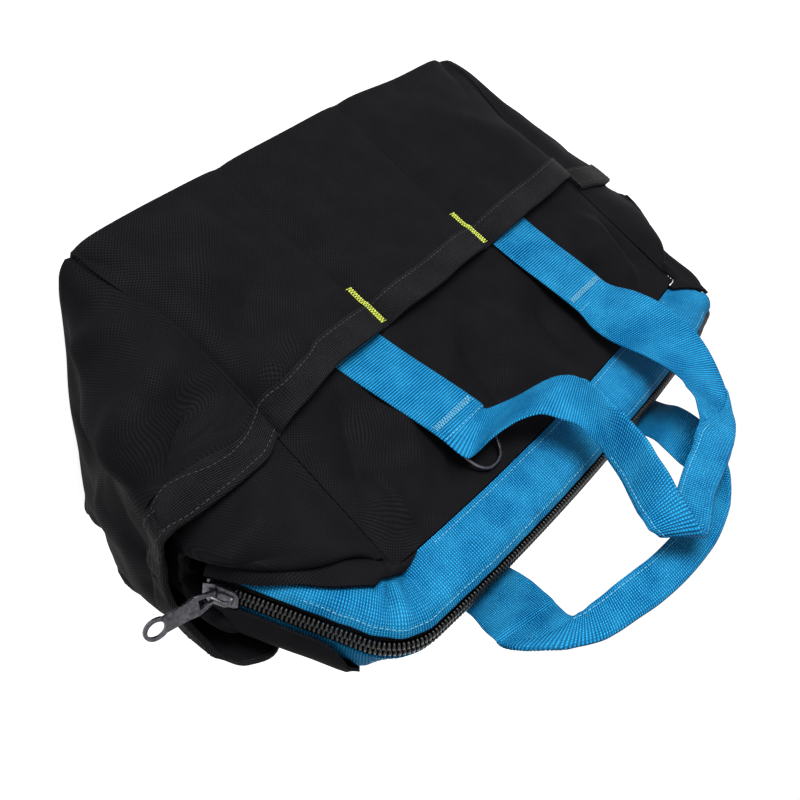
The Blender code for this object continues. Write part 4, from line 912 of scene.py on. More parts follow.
# %% End pockets
NEAR_MOUTH_LINE = (
    (-1.00, 150, -49, 133), (-0.85, 183, -45, 131), (-0.70, 207, -40, 127), (-0.55, 222, -32, 122),
    (-0.30, 222, -14, 118), (0.00, 219, 0, 117), (0.20, 220, 15, 120), (0.40, 219, 30, 128),
    (0.55, 216, 42, 140), (0.68, 217, 45, 153), (0.80, 211, 42, 168), (0.88, 196, 41, 173),
    (0.95, 174, 45, 156), (1.00, 150, 49, 133))
END_PLAIN_ROWS = 52
end_first_taped = END_PLAIN_ROWS - 1
mouth_line = np.array(NEAR_MOUTH_LINE)
bound_row = mouth * (1 - BINDING_WIDTH / POCKET_HEIGHT)
pocket_rows = np.concatenate([np.linspace(0.0, bound_row, END_PLAIN_ROWS),
                              np.linspace(bound_row, mouth, TAPE_ROWS)[1:]])
for end, name in ((+1, "right"), (-1, "left")):
    grid = end_surface(end, end_places, pocket_rows)
    flatter = 3.0 if end > 0 else np.where(end_places < 0, 0.8, 1.2)
    fullness = (1 - np.abs(end_places) ** flatter) * END_FULLNESS_SHARES[end]
    inner = CLOTH + CLOTH_GAP + END_POCKET_SLACK * fullness[:, None] * ease(pocket_rows / mouth)[None, :]
    if end > 0:
        wanted = smooth_table(mouth_line[:, 0], mouth_line[:, 1:] * MM, end_places)
        grid = grid + grid_normals(grid, end) * inner[..., None]
        pull = (pocket_rows / mouth)[None, :, None] ** 1.7
        free = ease((1 - np.abs(end_places)) * 12)[:, None, None]
        grid = grid + (wanted - grid[:, -1])[:, None] * pull * free
        inner = 0.0
    pocket, face = sheet_mesh("end_pocket_cloth_" + name, grid, inner, inner + CLOTH, end, black_cloth,
                              soft=True)
    dress(pocket, "bag", "black_cloth", "end_pocket_" + name)
    normals = grid_normals(face, end)
    if end < 0:
        face, normals = face[::-1], normals[::-1]
    tape = bound_edge("end_pocket_tape_" + name, face[:, end_first_taped:], normals[:, end_first_taped:],
                      black_tape, CLOTH_GAP + BINDING_THICKNESS / 2)[0]
    dress(tape, "bag", "black_tape", "end_pocket_" + name + "_binding")
    lifted = face + normals * (BINDING_THICKNESS + CLOTH_GAP + 0.1 * MM)
    STITCH_LINES["tape"] += [lifted[2:-2, end_first_taped + 1], lifted[2:-2, end_first_taped + 7]]
print("end pocket faces:", len(pocket.data.polygons))

# %% [markdown]
# Mouth band, zipper tape and the folded gills
# Blue webbing binds the mouth. It turns down both ends with the zipper, where the black end panel is
# folded forward over it like a gill and leaves only a wedge of blue.

# %% Lips of the gills
GILL_SHARES = (-0.3, 0.0, 0.15, 0.6, 0.85, 1.06, 1.28, 1.44, 1.56, 1.7, 2.0)
GILL_EDGES = {(-1, +1): (1.0, 0.86, 0.84, 0.77, 0.73, 0.58, 0.42, 0.34, 0.27, 0.19, 0.1),
              (+1, +1): (1.0, 1.0, 1.0, 1.0, 0.96, 0.30, 0.10, 0.10, 0.1, 0.1, 0.1),
              (-1, -1): (1.0, 0.62, 0.36, 0.22, 0.20, 0.18, 0.17, 0.16, 0.15, 0.15, 0.15),
              (+1, -1): (1.0, 0.92, 0.80, 0.55, 0.45, 0.36, 0.30, 0.26, 0.24, 0.22, 0.2)}
GILL_STARTS = {(-1, +1): -0.25, (+1, +1): 0.80, (-1, -1): -0.25, (+1, -1): -0.25}
GILL_LIFTS = {(-1, +1): 1.0, (+1, +1): 0.35, (-1, -1): 0.05, (+1, -1): 0.6}
GILL_PLACES = np.array([row[4] + (row[3] - 1) * 3 for row in RIDGE])
RIDGE_ENDS = np.array([row[0] for row in RIDGE])


def gill_edge(side, end):
    """Share of the strip's width at which a gill's lip lies, for each place along the zipper."""
    edge = np.clip(smooth_table(GILL_SHARES, GILL_EDGES[side, end], GILL_PLACES), 0.08, 0.985)
    return np.where((RIDGE_ENDS == end) & (GILL_PLACES > GILL_STARTS[side, end]), edge, 1.0)


print("stations beside the near front gill:", int((gill_edge(-1, +1) < 0.98).sum()))

# %% Mouth band and zipper tape
MOUTH_WEBBING_WIDTH = 0.036
BAND_WAVE, BAND_PUCKER, PUCKER_PITCH = 0.0016, 0.0020, 0.017
under = STRIP_PLACES[1] + TAPE_UNDERLAP / STRIP_DROP
band_places = np.concatenate([[0.10], np.linspace(0.16, 0.97, 16), [1.0]])
ridge_run = lengths_along(np.array([row[1] for row in RIDGE]))
end_shares = np.array([row[4] for row in RIDGE])
for side, name in ((-1, "front"), (+1, "back")):
    band = strip_grid(side, band_places)
    waves = BAND_WAVE * lattice_noise(ridge_run[:, None], band_places[None, :] * 0.03, 0.019, 91 + side)
    corner = np.exp(-((end_shares - 0.75) / 0.55) ** 2)[:, None]
    pucker = BAND_PUCKER * corner * np.sin(ridge_run * 2 * math.pi / PUCKER_PITCH)[:, None]
    shape = (waves + pucker) * np.sin(np.clip(band_places, 0, 1) * math.pi)[None, :]
    covered = np.minimum(gill_edge(side, +1), gill_edge(side, -1))[:, None]
    visible = ease((covered - band_places[None, :]) * 10 + (covered > 0.99))
    shape = shape * visible
    if side > 0:
        shape = shape * np.where(RIDGE_ENDS == 1, 1 - 0.85 * ease(end_shares * 4), 1.0)[:, None]
    dip = 0.0001 + 0.0018 * ease((band_places[None, :] - 0.5) * 6)
    band = band + grid_normals(band, side) * np.maximum(shape, -dip)[..., None]
    uv = np.stack([np.broadcast_to(band_places * MOUTH_WEBBING_WIDTH, band.shape[:2]),
                   np.broadcast_to(ridge_run[:, None], band.shape[:2])], axis=-1)
    thickness = BAND_THICKNESS * (0.25 + 0.75 * visible)
    piece, face = sheet_mesh("mouth_webbing_" + name, band, 0.0, thickness, side, blue_webbing, uv)
    dress(piece, "bag", "blue_webbing", "mouth_band_" + name)
    lifted = face + grid_normals(band, side) * 0.12 * MM
    lowest = np.min([np.roll(covered[:, 0], step) for step in range(-3, 4)], axis=0)
    margin = np.where(RIDGE_ENDS < 0, 0.30, 0.04)
    for column in (2, len(band_places) - 3):
        seen = lowest > np.minimum(band_places[column] + margin, 0.96)
        STITCH_LINES["pale"].append(lifted[seen, column])
    ribbon_places = np.concatenate([np.linspace(0.0, 0.28, 7), [under]])
    ribbon = strip_grid(side, ribbon_places)
    uv = np.stack([np.broadcast_to(ribbon_places * MOUTH_WEBBING_WIDTH, ribbon.shape[:2]),
                   np.broadcast_to(ridge_run[:, None], ribbon.shape[:2])], axis=-1)
    low = -CLOTH_GAP - TAPE_THICKNESS
    tape = sheet_mesh("zipper_tape_cloth_" + name, ribbon, low, -CLOTH_GAP, side, zipper_tape, uv)[0]
    dress(tape, "bag", "black_tape", "zipper_tape_" + name)
print("zipper line, mm:", round(1000 * ridge_run[-1]))

# %% Gills over the short sides
GILL_STANDOFF, GILL_CREST, GILL_RIPPLE = 0.0012, 0.0032, 0.0013
for end, end_name in ((+1, "right"), (-1, "left")):
    for side, side_name in ((-1, "front"), (+1, "back")):
        begin = GILL_STARTS[side, end]
        chosen = [k for k in range(len(RIDGE)) if RIDGE_ENDS[k] == end and GILL_PLACES[k] > begin]
        shares = GILL_PLACES[chosen]
        edge = gill_edge(side, end)[chosen]
        steps = np.linspace(0.0, 1.0, 21)
        places = np.linspace(0.05, 1.0, 61)
        full = strip_grid(side, places, puff=1.2)[chosen]
        grid = np.array([smooth_table(places, full[i], blend(1.0, edge[i], steps))
                         for i in range(len(chosen))])
        seed = 101 + 10 * end + side
        ripple = GILL_RIPPLE * lattice_noise(shares[:, None] * 0.08, steps[None, :] * 0.03, 0.016, seed)
        crest = np.sin(math.pi * steps * 0.93)[None, :]
        lift = (GILL_STANDOFF + GILL_CREST * crest + ripple) * GILL_LIFTS[side, end]
        lift = lift * ease((shares - begin) * 4)[:, None]
        lift = (lift + BAND_THICKNESS + 0.3 * MM) * ease(steps * 5)[None, :]
        name = "gill_%s_%s" % (side_name, end_name)
        gill = sheet_mesh(name, grid, lift, lift + CLOTH, -side, black_cloth)[0]
        dress(gill, "bag", "black_cloth")
print("gill faces:", len(gill.data.polygons))

# %% [markdown]
# Repeats made with Geometry Nodes
# Stitches and coil turns repeat hundreds of times along a line. A small node tree walks the line at
# a set pitch, puts one small shape at each step, and gives the result a material. The tree's result
# is then turned to a plain mesh, because the kept model holds no modifiers.

# %% Node tree for stitches
def socket(tree, name, kind, value=None):
    """A named input of a node tree."""
    made = tree.interface.new_socket(name=name, in_out="INPUT", socket_type=kind)
    if value is not None:
        made.default_value = value
    return made


def stitch_tree():
    """Stitches: one small spindle at each step along every line of a mesh."""
    tree = bpy.data.node_groups.new("stitches", "GeometryNodeTree")
    tree.interface.new_socket(name="Geometry", in_out="OUTPUT", socket_type="NodeSocketGeometry")
    sockets = {"Geometry": socket(tree, "Geometry", "NodeSocketGeometry")}
    for name, value in (("Pitch", 3.0 * MM), ("Length", 2.2 * MM), ("Thickness", 0.6 * MM)):
        sockets[name] = socket(tree, name, "NodeSocketFloat", value)
    sockets["Material"] = socket(tree, "Material", "NodeSocketMaterial")
    given = add_node(tree, "NodeGroupInput").outputs
    curve = add_node(tree, "GeometryNodeMeshToCurve", {"Mesh": given["Geometry"]})
    even = add_node(tree, "GeometryNodeResampleCurve", {"Curve": curve.outputs[0], "Length": given["Pitch"]},
                    mode="LENGTH")
    spindle = add_node(tree, "GeometryNodeMeshUVSphere", {"Segments": 6, "Rings": 4, "Radius": 0.5})
    size = add_node(tree, "ShaderNodeCombineXYZ",
                    {0: given["Thickness"], 1: given["Thickness"], 2: given["Length"]})
    tangent = add_node(tree, "GeometryNodeInputTangent")
    turned = add_node(tree, "FunctionNodeAlignRotationToVector", {"Vector": tangent.outputs[0]}, axis="Z")
    placed = add_node(tree, "GeometryNodeInstanceOnPoints",
                      {"Points": even.outputs[0], "Instance": spindle.outputs[0],
                       "Rotation": turned.outputs[0], "Scale": size.outputs[0]})
    real = add_node(tree, "GeometryNodeRealizeInstances", {0: placed.outputs[0]})
    shown = add_node(tree, "GeometryNodeSetMaterial",
                     {"Geometry": real.outputs[0], "Material": given["Material"]})
    smooth = add_node(tree, "GeometryNodeSetShadeSmooth", {0: shown.outputs[0]})
    add_node(tree, "NodeGroupOutput", {0: smooth.outputs[0]})
    return tree, {name: made.identifier for name, made in sockets.items()}


def line_object(name, lines):
    """A mesh of loose edges that runs along lines of points."""
    points, edges = [], []
    for line in lines:
        start = len(points)
        points += np.asarray(line, float).tolist()
        edges += [(start + i, start + i + 1) for i in range(len(line) - 1)]
    mesh = bpy.data.meshes.new(name)
    mesh.from_pydata(points, edges, [])
    item = bpy.data.objects.new(name, mesh)
    bpy.context.scene.collection.objects.link(item)
    return item


def grow(name, item, tree, names, values):
    """Runs a node tree on an object and keeps the result as a plain mesh object."""
    modifier = item.modifiers.new("grow", "NODES")
    modifier.node_group = tree
    for key, value in values.items():
        modifier[names[key]] = value
    bpy.context.view_layer.update()
    graph = bpy.context.evaluated_depsgraph_get()
    mesh = bpy.data.meshes.new_from_object(item.evaluated_get(graph))
    bpy.data.objects.remove(item)
    made = bpy.data.objects.new(name, mesh)
    bpy.context.scene.collection.objects.link(made)
    return made


STITCHES, STITCH_NAMES = stitch_tree()
print("inputs of the stitch tree:", sorted(STITCH_NAMES))

# %% Node tree for the coil
WIRE_RADIUS = 0.78 * MM


def coil_turn():
    """One turn of half a coil: a short bent wire, from the tape's edge over to the middle."""
    half = (COIL_WIDTH - COIL_SPLIT) / 2 - 0.7 * MM
    path = np.array([(0.0, half, -0.65), (0.0, half * 1.02, 0.0), (0.0, half * 0.86, 0.72),
                     (0.0, half * 0.45, 0.90), (0.0, half * 0.08, 0.68), (0.0, -half * 0.04, 0.07),
                     (0.0, half * 0.05, -0.58)]) * np.array((1.0, 1.0, MM))
    tangents = unit(np.gradient(path, axis=0))
    points, faces = [], []
    first, sides = np.array((1.0, 0.0, 0.0)), 6
    for centre, tangent in zip(path, tangents):
        second = np.cross(tangent, first)
        for k in range(sides):
            angle = 2 * math.pi * k / sides
            points.append(centre + WIRE_RADIUS * (first * math.cos(angle) + second * math.sin(angle)))
    for i in range(len(path) - 1):
        for k in range(sides):
            a, b = i * sides + k, i * sides + (k + 1) % sides
            faces.append((a, b, b + sides, a + sides))
    faces += [tuple(range(sides))[::-1], tuple(range(len(points) - sides, len(points)))]
    return mesh_object("coil_turn", points, faces, black_nylon, sharp=80.0)


def coil_tree():
    """Coil: one turn at each step along a line, standing along the line's own outward direction."""
    tree = bpy.data.node_groups.new("coil", "GeometryNodeTree")
    tree.interface.new_socket(name="Geometry", in_out="OUTPUT", socket_type="NodeSocketGeometry")
    sockets = {"Geometry": socket(tree, "Geometry", "NodeSocketGeometry"),
               "Turn": socket(tree, "Turn", "NodeSocketObject"),
               "Material": socket(tree, "Material", "NodeSocketMaterial")}
    given = add_node(tree, "NodeGroupInput").outputs
    turn = add_node(tree, "GeometryNodeObjectInfo", {"Object": given["Turn"]}, transform_space="ORIGINAL")
    outward = add_node(tree, "GeometryNodeInputNamedAttribute", {"Name": "outward"}, data_type="FLOAT_VECTOR")
    forward = add_node(tree, "GeometryNodeInputNamedAttribute", {"Name": "forward"}, data_type="FLOAT_VECTOR")
    stood = add_node(tree, "FunctionNodeAlignRotationToVector", {"Vector": outward.outputs[0]}, axis="Z")
    turned = add_node(tree, "FunctionNodeAlignRotationToVector",
                      {"Rotation": stood.outputs[0], "Vector": forward.outputs[0]}, axis="X", pivot_axis="Z")
    placed = add_node(tree, "GeometryNodeInstanceOnPoints",
                      {"Points": given["Geometry"], "Instance": turn.outputs["Geometry"],
                       "Rotation": turned.outputs[0]})
    real = add_node(tree, "GeometryNodeRealizeInstances", {0: placed.outputs[0]})
    shown = add_node(tree, "GeometryNodeSetMaterial",
                     {"Geometry": real.outputs[0], "Material": given["Material"]})
    add_node(tree, "NodeGroupOutput", {0: shown.outputs[0]})
    return tree, {name: made.identifier for name, made in sockets.items()}


COIL, COIL_NAMES = coil_tree()
print("inputs of the coil tree:", sorted(COIL_NAMES))

# %% [markdown]
# Zipper
# A spiral coil of nylon is sewn to each tape, and the two mesh like fingers. Seen from above it is
# two rows of glossy humps, one per turn, 2.4 mm apart, with the two rows half a step out.

# %% Coil halves
COIL_PITCH = 2.4 * MM
turn_shape = coil_turn()
ridge_points = np.array([row[1] + far_settle(row[0], row[3], row[4]) for row in RIDGE])
ridge_out = np.array([row[2] for row in RIDGE])
for side, name in ((-1, "front"), (+1, "back")):
    start, finish = STOP_LENGTH + 1.0 * MM, ridge_run[-1] - SLIDER_LENGTH * 0.35
    count = int((finish - start) / COIL_PITCH)
    wanted = start + COIL_PITCH * (np.arange(count) + (0.5 if side > 0 else 0.0))
    line = np.stack([np.interp(wanted, ridge_run, ridge_points[:, k]) for k in range(3)], axis=1)
    out = unit(np.stack([np.interp(wanted, ridge_run, ridge_out[:, k]) for k in range(3)], axis=1))
    run = unit(np.cross((0.0, 1.0, 0.0), out)) * side
    points = bpy.data.meshes.new("coil_line")
    points.from_pydata((line + np.array((0.0, side * COIL_SPLIT / 2, 0.0)) - out * 0.1 * MM).tolist(), [], [])
    for key, rows in (("outward", out), ("forward", run)):
        field = points.attributes.new(key, "FLOAT_VECTOR", "POINT")
        field.data.foreach_set("vector", rows.astype(np.float32).ravel())
    host = bpy.data.objects.new("coil_line", points)
    bpy.context.scene.collection.objects.link(host)
    coil = grow("coil_" + name, host, COIL, COIL_NAMES, {"Turn": turn_shape, "Material": black_nylon})
    dress(coil, "bag", "black_nylon", "zipper_coil_" + name)
bpy.data.objects.remove(turn_shape)
print("coil turns a side:", count, "faces:", len(coil.data.polygons))

# %% [markdown]
# Slider, pull tab and end stop
# These are hard castings. Their solids already have the right shape, so copies of them get small
# rounded edges, which catch the light as the real castings do. The tab hangs loosely on its pin, so
# its plate also lies over to one side.

# %% Castings with rounded edges
def rounded_copy(name, node, finish, body, slot, width, reshape=None):
    """A copy of a solid with its edges rounded, reshaped first if a way is given."""
    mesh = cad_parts[node].data.copy()
    mesh.name = name
    if reshape is not None:
        for vertex in mesh.vertices:
            vertex.co = reshape(vertex.co)
    work = bmesh.new()
    work.from_mesh(mesh)
    bmesh.ops.remove_doubles(work, verts=work.verts, dist=0.01 * MM)
    bmesh.ops.dissolve_limit(work, angle_limit=math.radians(2), verts=work.verts, edges=work.edges)
    work.to_mesh(mesh)
    work.free()
    mesh.materials.clear()
    mesh.materials.append(finish)
    mesh.shade_smooth()
    item = bpy.data.objects.new(name, mesh)
    bpy.context.scene.collection.objects.link(item)
    edge = item.modifiers.new("round", "BEVEL")
    edge.width, edge.segments = width, 2
    edge.limit_method, edge.angle_limit = "ANGLE", math.radians(30)
    edge.harden_normals = True
    return dress(item, body, slot, node)


slider = rounded_copy("slider_casting", "zipper_slider", black_metal, "slider", "black_metal", 0.28 * MM)
tab_low, tab_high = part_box("pull_tab")
print("pull tab, mm:", np.round(1000 * np.array(tab_low), 1), np.round(1000 * np.array(tab_high), 1))
pin, tab_tip = Vector((0.2166517, 0.0, 0.1470266)), Vector((0.254, 0.0, 0.138))
lengthwise = (tab_tip - pin).normalized()
TAB_ROLL = math.radians(24)


def lie_over(place):
    """Rolls the tab's plate to one side and makes its ring a slim oval. The arms and the pin stay."""
    run = (place - pin).dot(lengthwise)
    free = float(ease((run - 2 * MM) / (8 * MM)))
    wide = blend(1.0, 1.2, free) * (1 - 0.20 * float(ease((run - 27 * MM) / (8 * MM))))
    off = place - pin - lengthwise * run
    off.y *= wide
    off.rotate(Matrix.Rotation(TAB_ROLL * free, 3, lengthwise))
    return pin + lengthwise * run * (1 - 0.1 * free) + off


tab = rounded_copy("pull_tab_casting", "pull_tab", black_metal, "pull_tab", "black_metal", 0.3 * MM,
                   lie_over)
stop = rounded_copy("zipper_stop", "zipper_end_stop", black_nylon, "bag", "black_nylon", 0.5 * MM)
print("castings:", slider.name, tab.name, stop.name)

# %% [markdown]
# Handles
# One length of webbing makes each handle: it comes up out of the pocket, is tacked to the wall, fans
# round at the tack line and rises in a loop, where it is folded lengthwise and stitched into a grip.
# Webbing that twists this much is easiest to draw from its two edges. Each row of the tables holds
# one place on each edge, in millimetres, and the share by which the webbing is folded there.

# %% Edges of the handles
FRONT_HANDLE_EDGES = (
    (46, -36, 190, 82, -33, 201, 0.00), (38, -37, 194, 75, -33, 203, 0.00),
    (28, -38, 198, 66, -36, 204, 0.00), (18, -39, 201, 55, -40, 207, 0.00),
    (9, -42, 205, 46, -43, 211, 0.00), (3, -45, 210, 38, -46, 218, 0.00),
    (2, -49, 217, 34, -46, 227, 0.00), (5, -53, 226, 31, -45, 237, 0.10),
    (10, -56, 236, 31, -43, 246, 0.35), (15, -57, 246, 32, -41, 254, 0.70),
    (19, -58, 256, 36, -39, 262, 0.95), (23, -58, 265, 41, -39, 270, 1.00),
    (28, -58, 275, 47, -39, 278, 1.00), (35, -58, 284, 54, -41, 284, 1.00),
    (42, -58, 294, 61, -42, 291, 1.00), (49, -56, 304, 66, -44, 296, 1.00),
    (54, -53, 314, 69, -44, 301, 1.00), (56, -50, 321, 67, -43, 305, 1.00),
    (54, -47, 324, 60, -40, 306, 1.00), (46, -45, 323, 48, -38, 304, 1.00),
    (34, -45, 319, 34, -38, 300, 1.00), (20, -44, 315, 18, -38, 296, 1.00),
    (6, -43, 313, 5, -38, 293, 1.00), (-8, -42, 311, -7, -39, 291, 1.00),
    (-20, -39, 309, -17, -42, 288, 1.00), (-32, -38, 306, -27, -43, 286, 0.92),
    (-42, -38, 302, -34, -44, 281, 0.70), (-51, -38, 296, -40, -45, 276, 0.40),
    (-61, -39, 289, -44, -45, 269, 0.10), (-70, -40, 281, -48, -44, 262, 0.00),
    (-78, -43, 271, -51, -43, 253, 0.00), (-84, -46, 261, -55, -40, 243, 0.00),
    (-88, -49, 250, -58, -37, 232, 0.00), (-91, -50, 238, -61, -33, 221, 0.00),
    (-94, -50, 224, -63, -31, 209, 0.00), (-97, -47, 209, -65, -31, 199, 0.00),
)
BACK_HANDLE_EDGES = (
    (107, 33, 207, 69, 33, 206, 0.00), (116, 27, 224, 78, 25, 226, 0.00),
    (126, 20, 240, 89, 16, 244, 0.00), (130, 15, 246, 94, 9, 253, 0.00),
    (134, 11, 251, 99, 3, 262, 0.00), (139, 7, 258, 105, -3, 270, 0.00),
    (144, 1, 265, 110, -8, 277, 0.00), (148, -4, 272, 115, -13, 282, 0.15),
    (149, -9, 278, 119, -17, 286, 0.30), (148, -13, 284, 121, -19, 289, 0.50),
    (145, -17, 291, 121, -20, 292, 0.75), (141, -20, 298, 119, -20, 293, 0.95),
    (134, -21, 304, 116, -20, 295, 1.00), (126, -22, 310, 111, -21, 296, 1.00),
    (116, -22, 314, 103, -22, 298, 1.00), (103, -23, 318, 93, -23, 300, 1.00),
    (89, -23, 322, 79, -23, 303, 1.00), (74, -23, 325, 65, -23, 306, 1.00),
    (59, -23, 327, 50, -24, 308, 1.00), (44, -23, 328, 35, -23, 309, 1.00),
    (29, -23, 328, 21, -22, 309, 1.00), (14, -23, 326, 8, -20, 307, 1.00),
    (1, -24, 323, -5, -17, 305, 0.95), (-10, -25, 318, -13, -12, 302, 0.80),
    (-21, -25, 312, -18, -10, 299, 0.60), (-33, -24, 303, -21, -9, 295, 0.40),
    (-46, -21, 293, -23, -9, 290, 0.20), (-56, -16, 284, -24, -9, 284, 0.05),
    (-65, -10, 274, -28, -8, 275, 0.00), (-73, -3, 264, -35, -4, 266, 0.00),
    (-81, 7, 255, -43, 4, 256, 0.00), (-89, 16, 244, -52, 14, 246, 0.00),
    (-97, 26, 228, -60, 25, 229, 0.00), (-100, 33, 208, -63, 33, 208, 0.00),
)
print("rows of the handles:", len(FRONT_HANDLE_EDGES), len(BACK_HANDLE_EDGES))

# %% Lines of the handles
ANCHOR_SHARES = {-1: {+1: (1.03, 0.84), -1: (-1.03, -1.12)}, +1: {+1: (1.04, 1.07), -1: (-1.04, -1.08)}}
ROOT_WAYS = {-1: {+1: -1.0, -1: -1.0}, +1: {+1: 1.0, -1: -1.0}}


def strap_middle(side, end, z):
    """Middle of a strap's underside on the wall, at a height."""
    rise = (z - POCKET_HEIGHT) / (TACK_LINE_HEIGHT - POCKET_HEIGHT)
    x = blend(*ANCHOR_SHARES[side][end], rise) * STRAP_SPACING / 2
    out = wall_frame(side)[0]
    low, middle = wall_point(side, *wall_place(x, z)), wall_point(side, *wall_place(0.0, z))
    point = np.array((x, blend(low[1], middle[1], ease(rise)), low[2]))
    return point + out * (CLOTH + CLOTH_GAP + STRAP_RISE * ease(rise))


def handle_line(side, edges, count=440):
    """Rows of a handle's line: middle, half of its width as a vector, and how far it is folded."""
    edges = np.array(edges, float)
    first, second = edges[:, :3] * MM, edges[:, 3:6] * MM
    free = [tuple(row) for row in np.hstack([(first + second) / 2, (first - second) / 2, edges[:, 6:]])]
    out, up = wall_frame(side)
    roots = {}
    for end in (-1, +1):
        half = (ROOT_WAYS[side][end] * WEBBING_WIDTH / 2, 0.0, 0.0, 0.0)
        rows = [tuple(strap_middle(side, end, z) + out * WEBBING_THICKNESS / 2) + half
                for z in np.linspace(POCKET_HEIGHT - STRAP_TUCK, TACK_LINE_HEIGHT - 3 * MM, 8)]
        roots[end] = rows
    return along(roots[+1] + free + roots[-1][::-1], count)


LINES = {-1: handle_line(-1, FRONT_HANDLE_EDGES), +1: handle_line(+1, BACK_HANDLE_EDGES)}
print("webbing lengths, mm:", [round(1000 * lengths_along(LINES[s][:, :3])[-1]) for s in (-1, +1)])

# %% Folding ribbon
FOLD_RADIUS = 1.3 * MM
SELVEDGE, SELVEDGE_THINNESS = 0.6 * MM, 0.55


def folded_section(fold, count=45):
    """The webbing's cross-section with a share of one half turned over, its width brought to one."""
    s = np.linspace(-WEBBING_WIDTH / 2, WEBBING_WIDTH / 2, count * 5)
    spread, turned = math.pi * FOLD_RADIUS, float(ease(fold * 10))
    crease = WEBBING_WIDTH / 2 * (1 - fold)
    heading = math.pi * turned * ease((s - crease + spread / 2) / spread)
    x = np.concatenate([[0.0], np.cumsum(np.cos(heading[:-1]) * np.diff(s))])
    y = np.concatenate([[0.0], np.cumsum(np.sin(heading[:-1]) * np.diff(s))])
    width = x.max() - x.min()
    x = (x - (x.min() + x.max()) / 2) / width
    keep = np.linspace(0, len(s) - 1, count).round().astype(int)
    return np.stack([x, FOLD_RADIUS * turned - y], axis=1)[keep], s[keep]


def face_outward(item):
    """Turns all of a closed piece's faces outward."""
    work = bmesh.new()
    work.from_mesh(item.data)
    bmesh.ops.recalc_face_normals(work, faces=work.faces)
    work.to_mesh(item.data)
    work.free()


def ribbon(name, rows, finish):
    """Webbing along a line of middles and half widths."""
    points = rows[:, :3]
    tangents = unit(np.gradient(points, axis=0))
    across = rows[:, 3:6] * 2
    through = unit(np.cross(tangents, across))
    runs = lengths_along(points)
    top, bottom, uvs = [], [], []
    for k in range(len(rows)):
        section, s = folded_section(float(np.clip(rows[k, 6], 0.0, 1.0)))
        width = np.linalg.norm(across[k])
        slope = unit(np.gradient(section * np.array((width, 1.0)), axis=0))
        side_way = np.stack([-slope[:, 1] / width, slope[:, 0]], axis=1)
        thin = np.where(np.abs(s) > WEBBING_WIDTH / 2 - SELVEDGE, SELVEDGE_THINNESS, 1.0)[:, None]
        for store, sign in ((top, 1.0), (bottom, -1.0)):
            flat = section + side_way * thin * sign * WEBBING_THICKNESS / 2
            store.append(points[k] + across[k] * flat[:, :1] + through[k] * flat[:, 1:])
        uvs.append(np.stack([s, np.full_like(s, runs[k])], axis=1))
    top, bottom, uvs = np.array(top), np.array(bottom), np.array(uvs)
    ring = np.concatenate([top, bottom[:, ::-1]], axis=1)
    uv = np.concatenate([uvs, uvs[:, ::-1]], axis=1)
    count, sides = ring.shape[:2]
    i, j = np.meshgrid(np.arange(count - 1), np.arange(sides), indexing="ij")
    a, b = i * sides + j, i * sides + (j + 1) % sides
    faces = np.stack([a, b, b + sides, a + sides], axis=-1).reshape(-1, 4).tolist()
    faces += [tuple(range(sides))[::-1], tuple((count - 1) * sides + k for k in range(sides))]
    item = mesh_object(name, ring.reshape(-1, 3), faces, finish, uv.reshape(-1, 2), sharp=70.0)
    face_outward(item)
    return item, top, bottom


print("points across the webbing:", len(folded_section(1.0)[1]))

# %% Handles in webbing
HANDLE_FACES = {}
for side, name in ((-1, "front_handle"), (+1, "back_handle")):
    piece, top, bottom = ribbon(name + "_webbing", LINES[side], blue_webbing)
    HANDLE_FACES[side] = (top, bottom)
    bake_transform(piece)
    place = name.split("_")[0]
    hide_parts(name, place + "_strap_right", place + "_strap_left")
print("handle faces:", len(piece.data.polygons))

# %% [markdown]
# Ring and its tab
# A small D-ring of bent wire hangs from a loop of black tape that is caught under the handle's tack.

# %% Wire maker
def tube(name, path, radius, sides, finish, closed=False, guide=(0.0, 0.0, 1.0)):
    """A round wire along a path."""
    path = np.asarray(path, float)
    if closed:
        tangents = unit(np.roll(path, -1, axis=0) - np.roll(path, 1, axis=0))
    else:
        tangents = unit(np.gradient(path, axis=0))
    first = unit(np.cross(tangents, np.asarray(guide, float)))
    second = np.cross(tangents, first)
    turns = np.arange(sides) * 2 * math.pi / sides
    ring = (path[:, None] + radius * (first[:, None] * np.cos(turns)[None, :, None]
                                      + second[:, None] * np.sin(turns)[None, :, None]))
    count = len(path)
    faces = []
    for i in range(count if closed else count - 1):
        step = ((i + 1) % count) * sides
        faces += [(i * sides + j, i * sides + (j + 1) % sides, step + (j + 1) % sides, step + j)
                  for j in range(sides)]
    if not closed:
        faces += [tuple(range(sides))[::-1], tuple((count - 1) * sides + j for j in range(sides))]
    item = mesh_object(name, ring.reshape(-1, 3), faces, finish, sharp=60.0)
    face_outward(item)
    return item


print("wire maker ready")

# %% D-ring and tab
RING_ROUNDING, RING_LEAN = 0.8, 0.08
out, up = wall_frame(-1)
ring_x = ANCHOR_SHARES[-1][+1][1] * STRAP_SPACING / 2
outer = RING_WIRE / 2 + RING_CLEARANCE + RING_TAB_THICKNESS
ring_centre = (wall_point(-1, *wall_place(ring_x, TACK_LINE_HEIGHT)) + out * (CLOTH + CLOTH_GAP + outer)
               + up * (outer + 2 * CLOTH_GAP))
x_axis = np.array((1.0, 0.0, 0.0))
half = RING_WIDTH / 2 - RING_WIRE / 2
loop = [ring_centre - x_axis * half * share for share in np.linspace(-0.85, 0.85, 15)]
for turn in np.linspace(math.pi, 2 * math.pi, 45):
    sine = abs(math.sin(turn)) ** RING_ROUNDING
    cosine = math.copysign(abs(math.cos(turn)) ** RING_ROUNDING, math.cos(turn))
    lean = RING_LEAN * RING_DROP * sine
    loop.append(ring_centre + x_axis * (half * cosine + lean) + up * RING_DROP * sine)
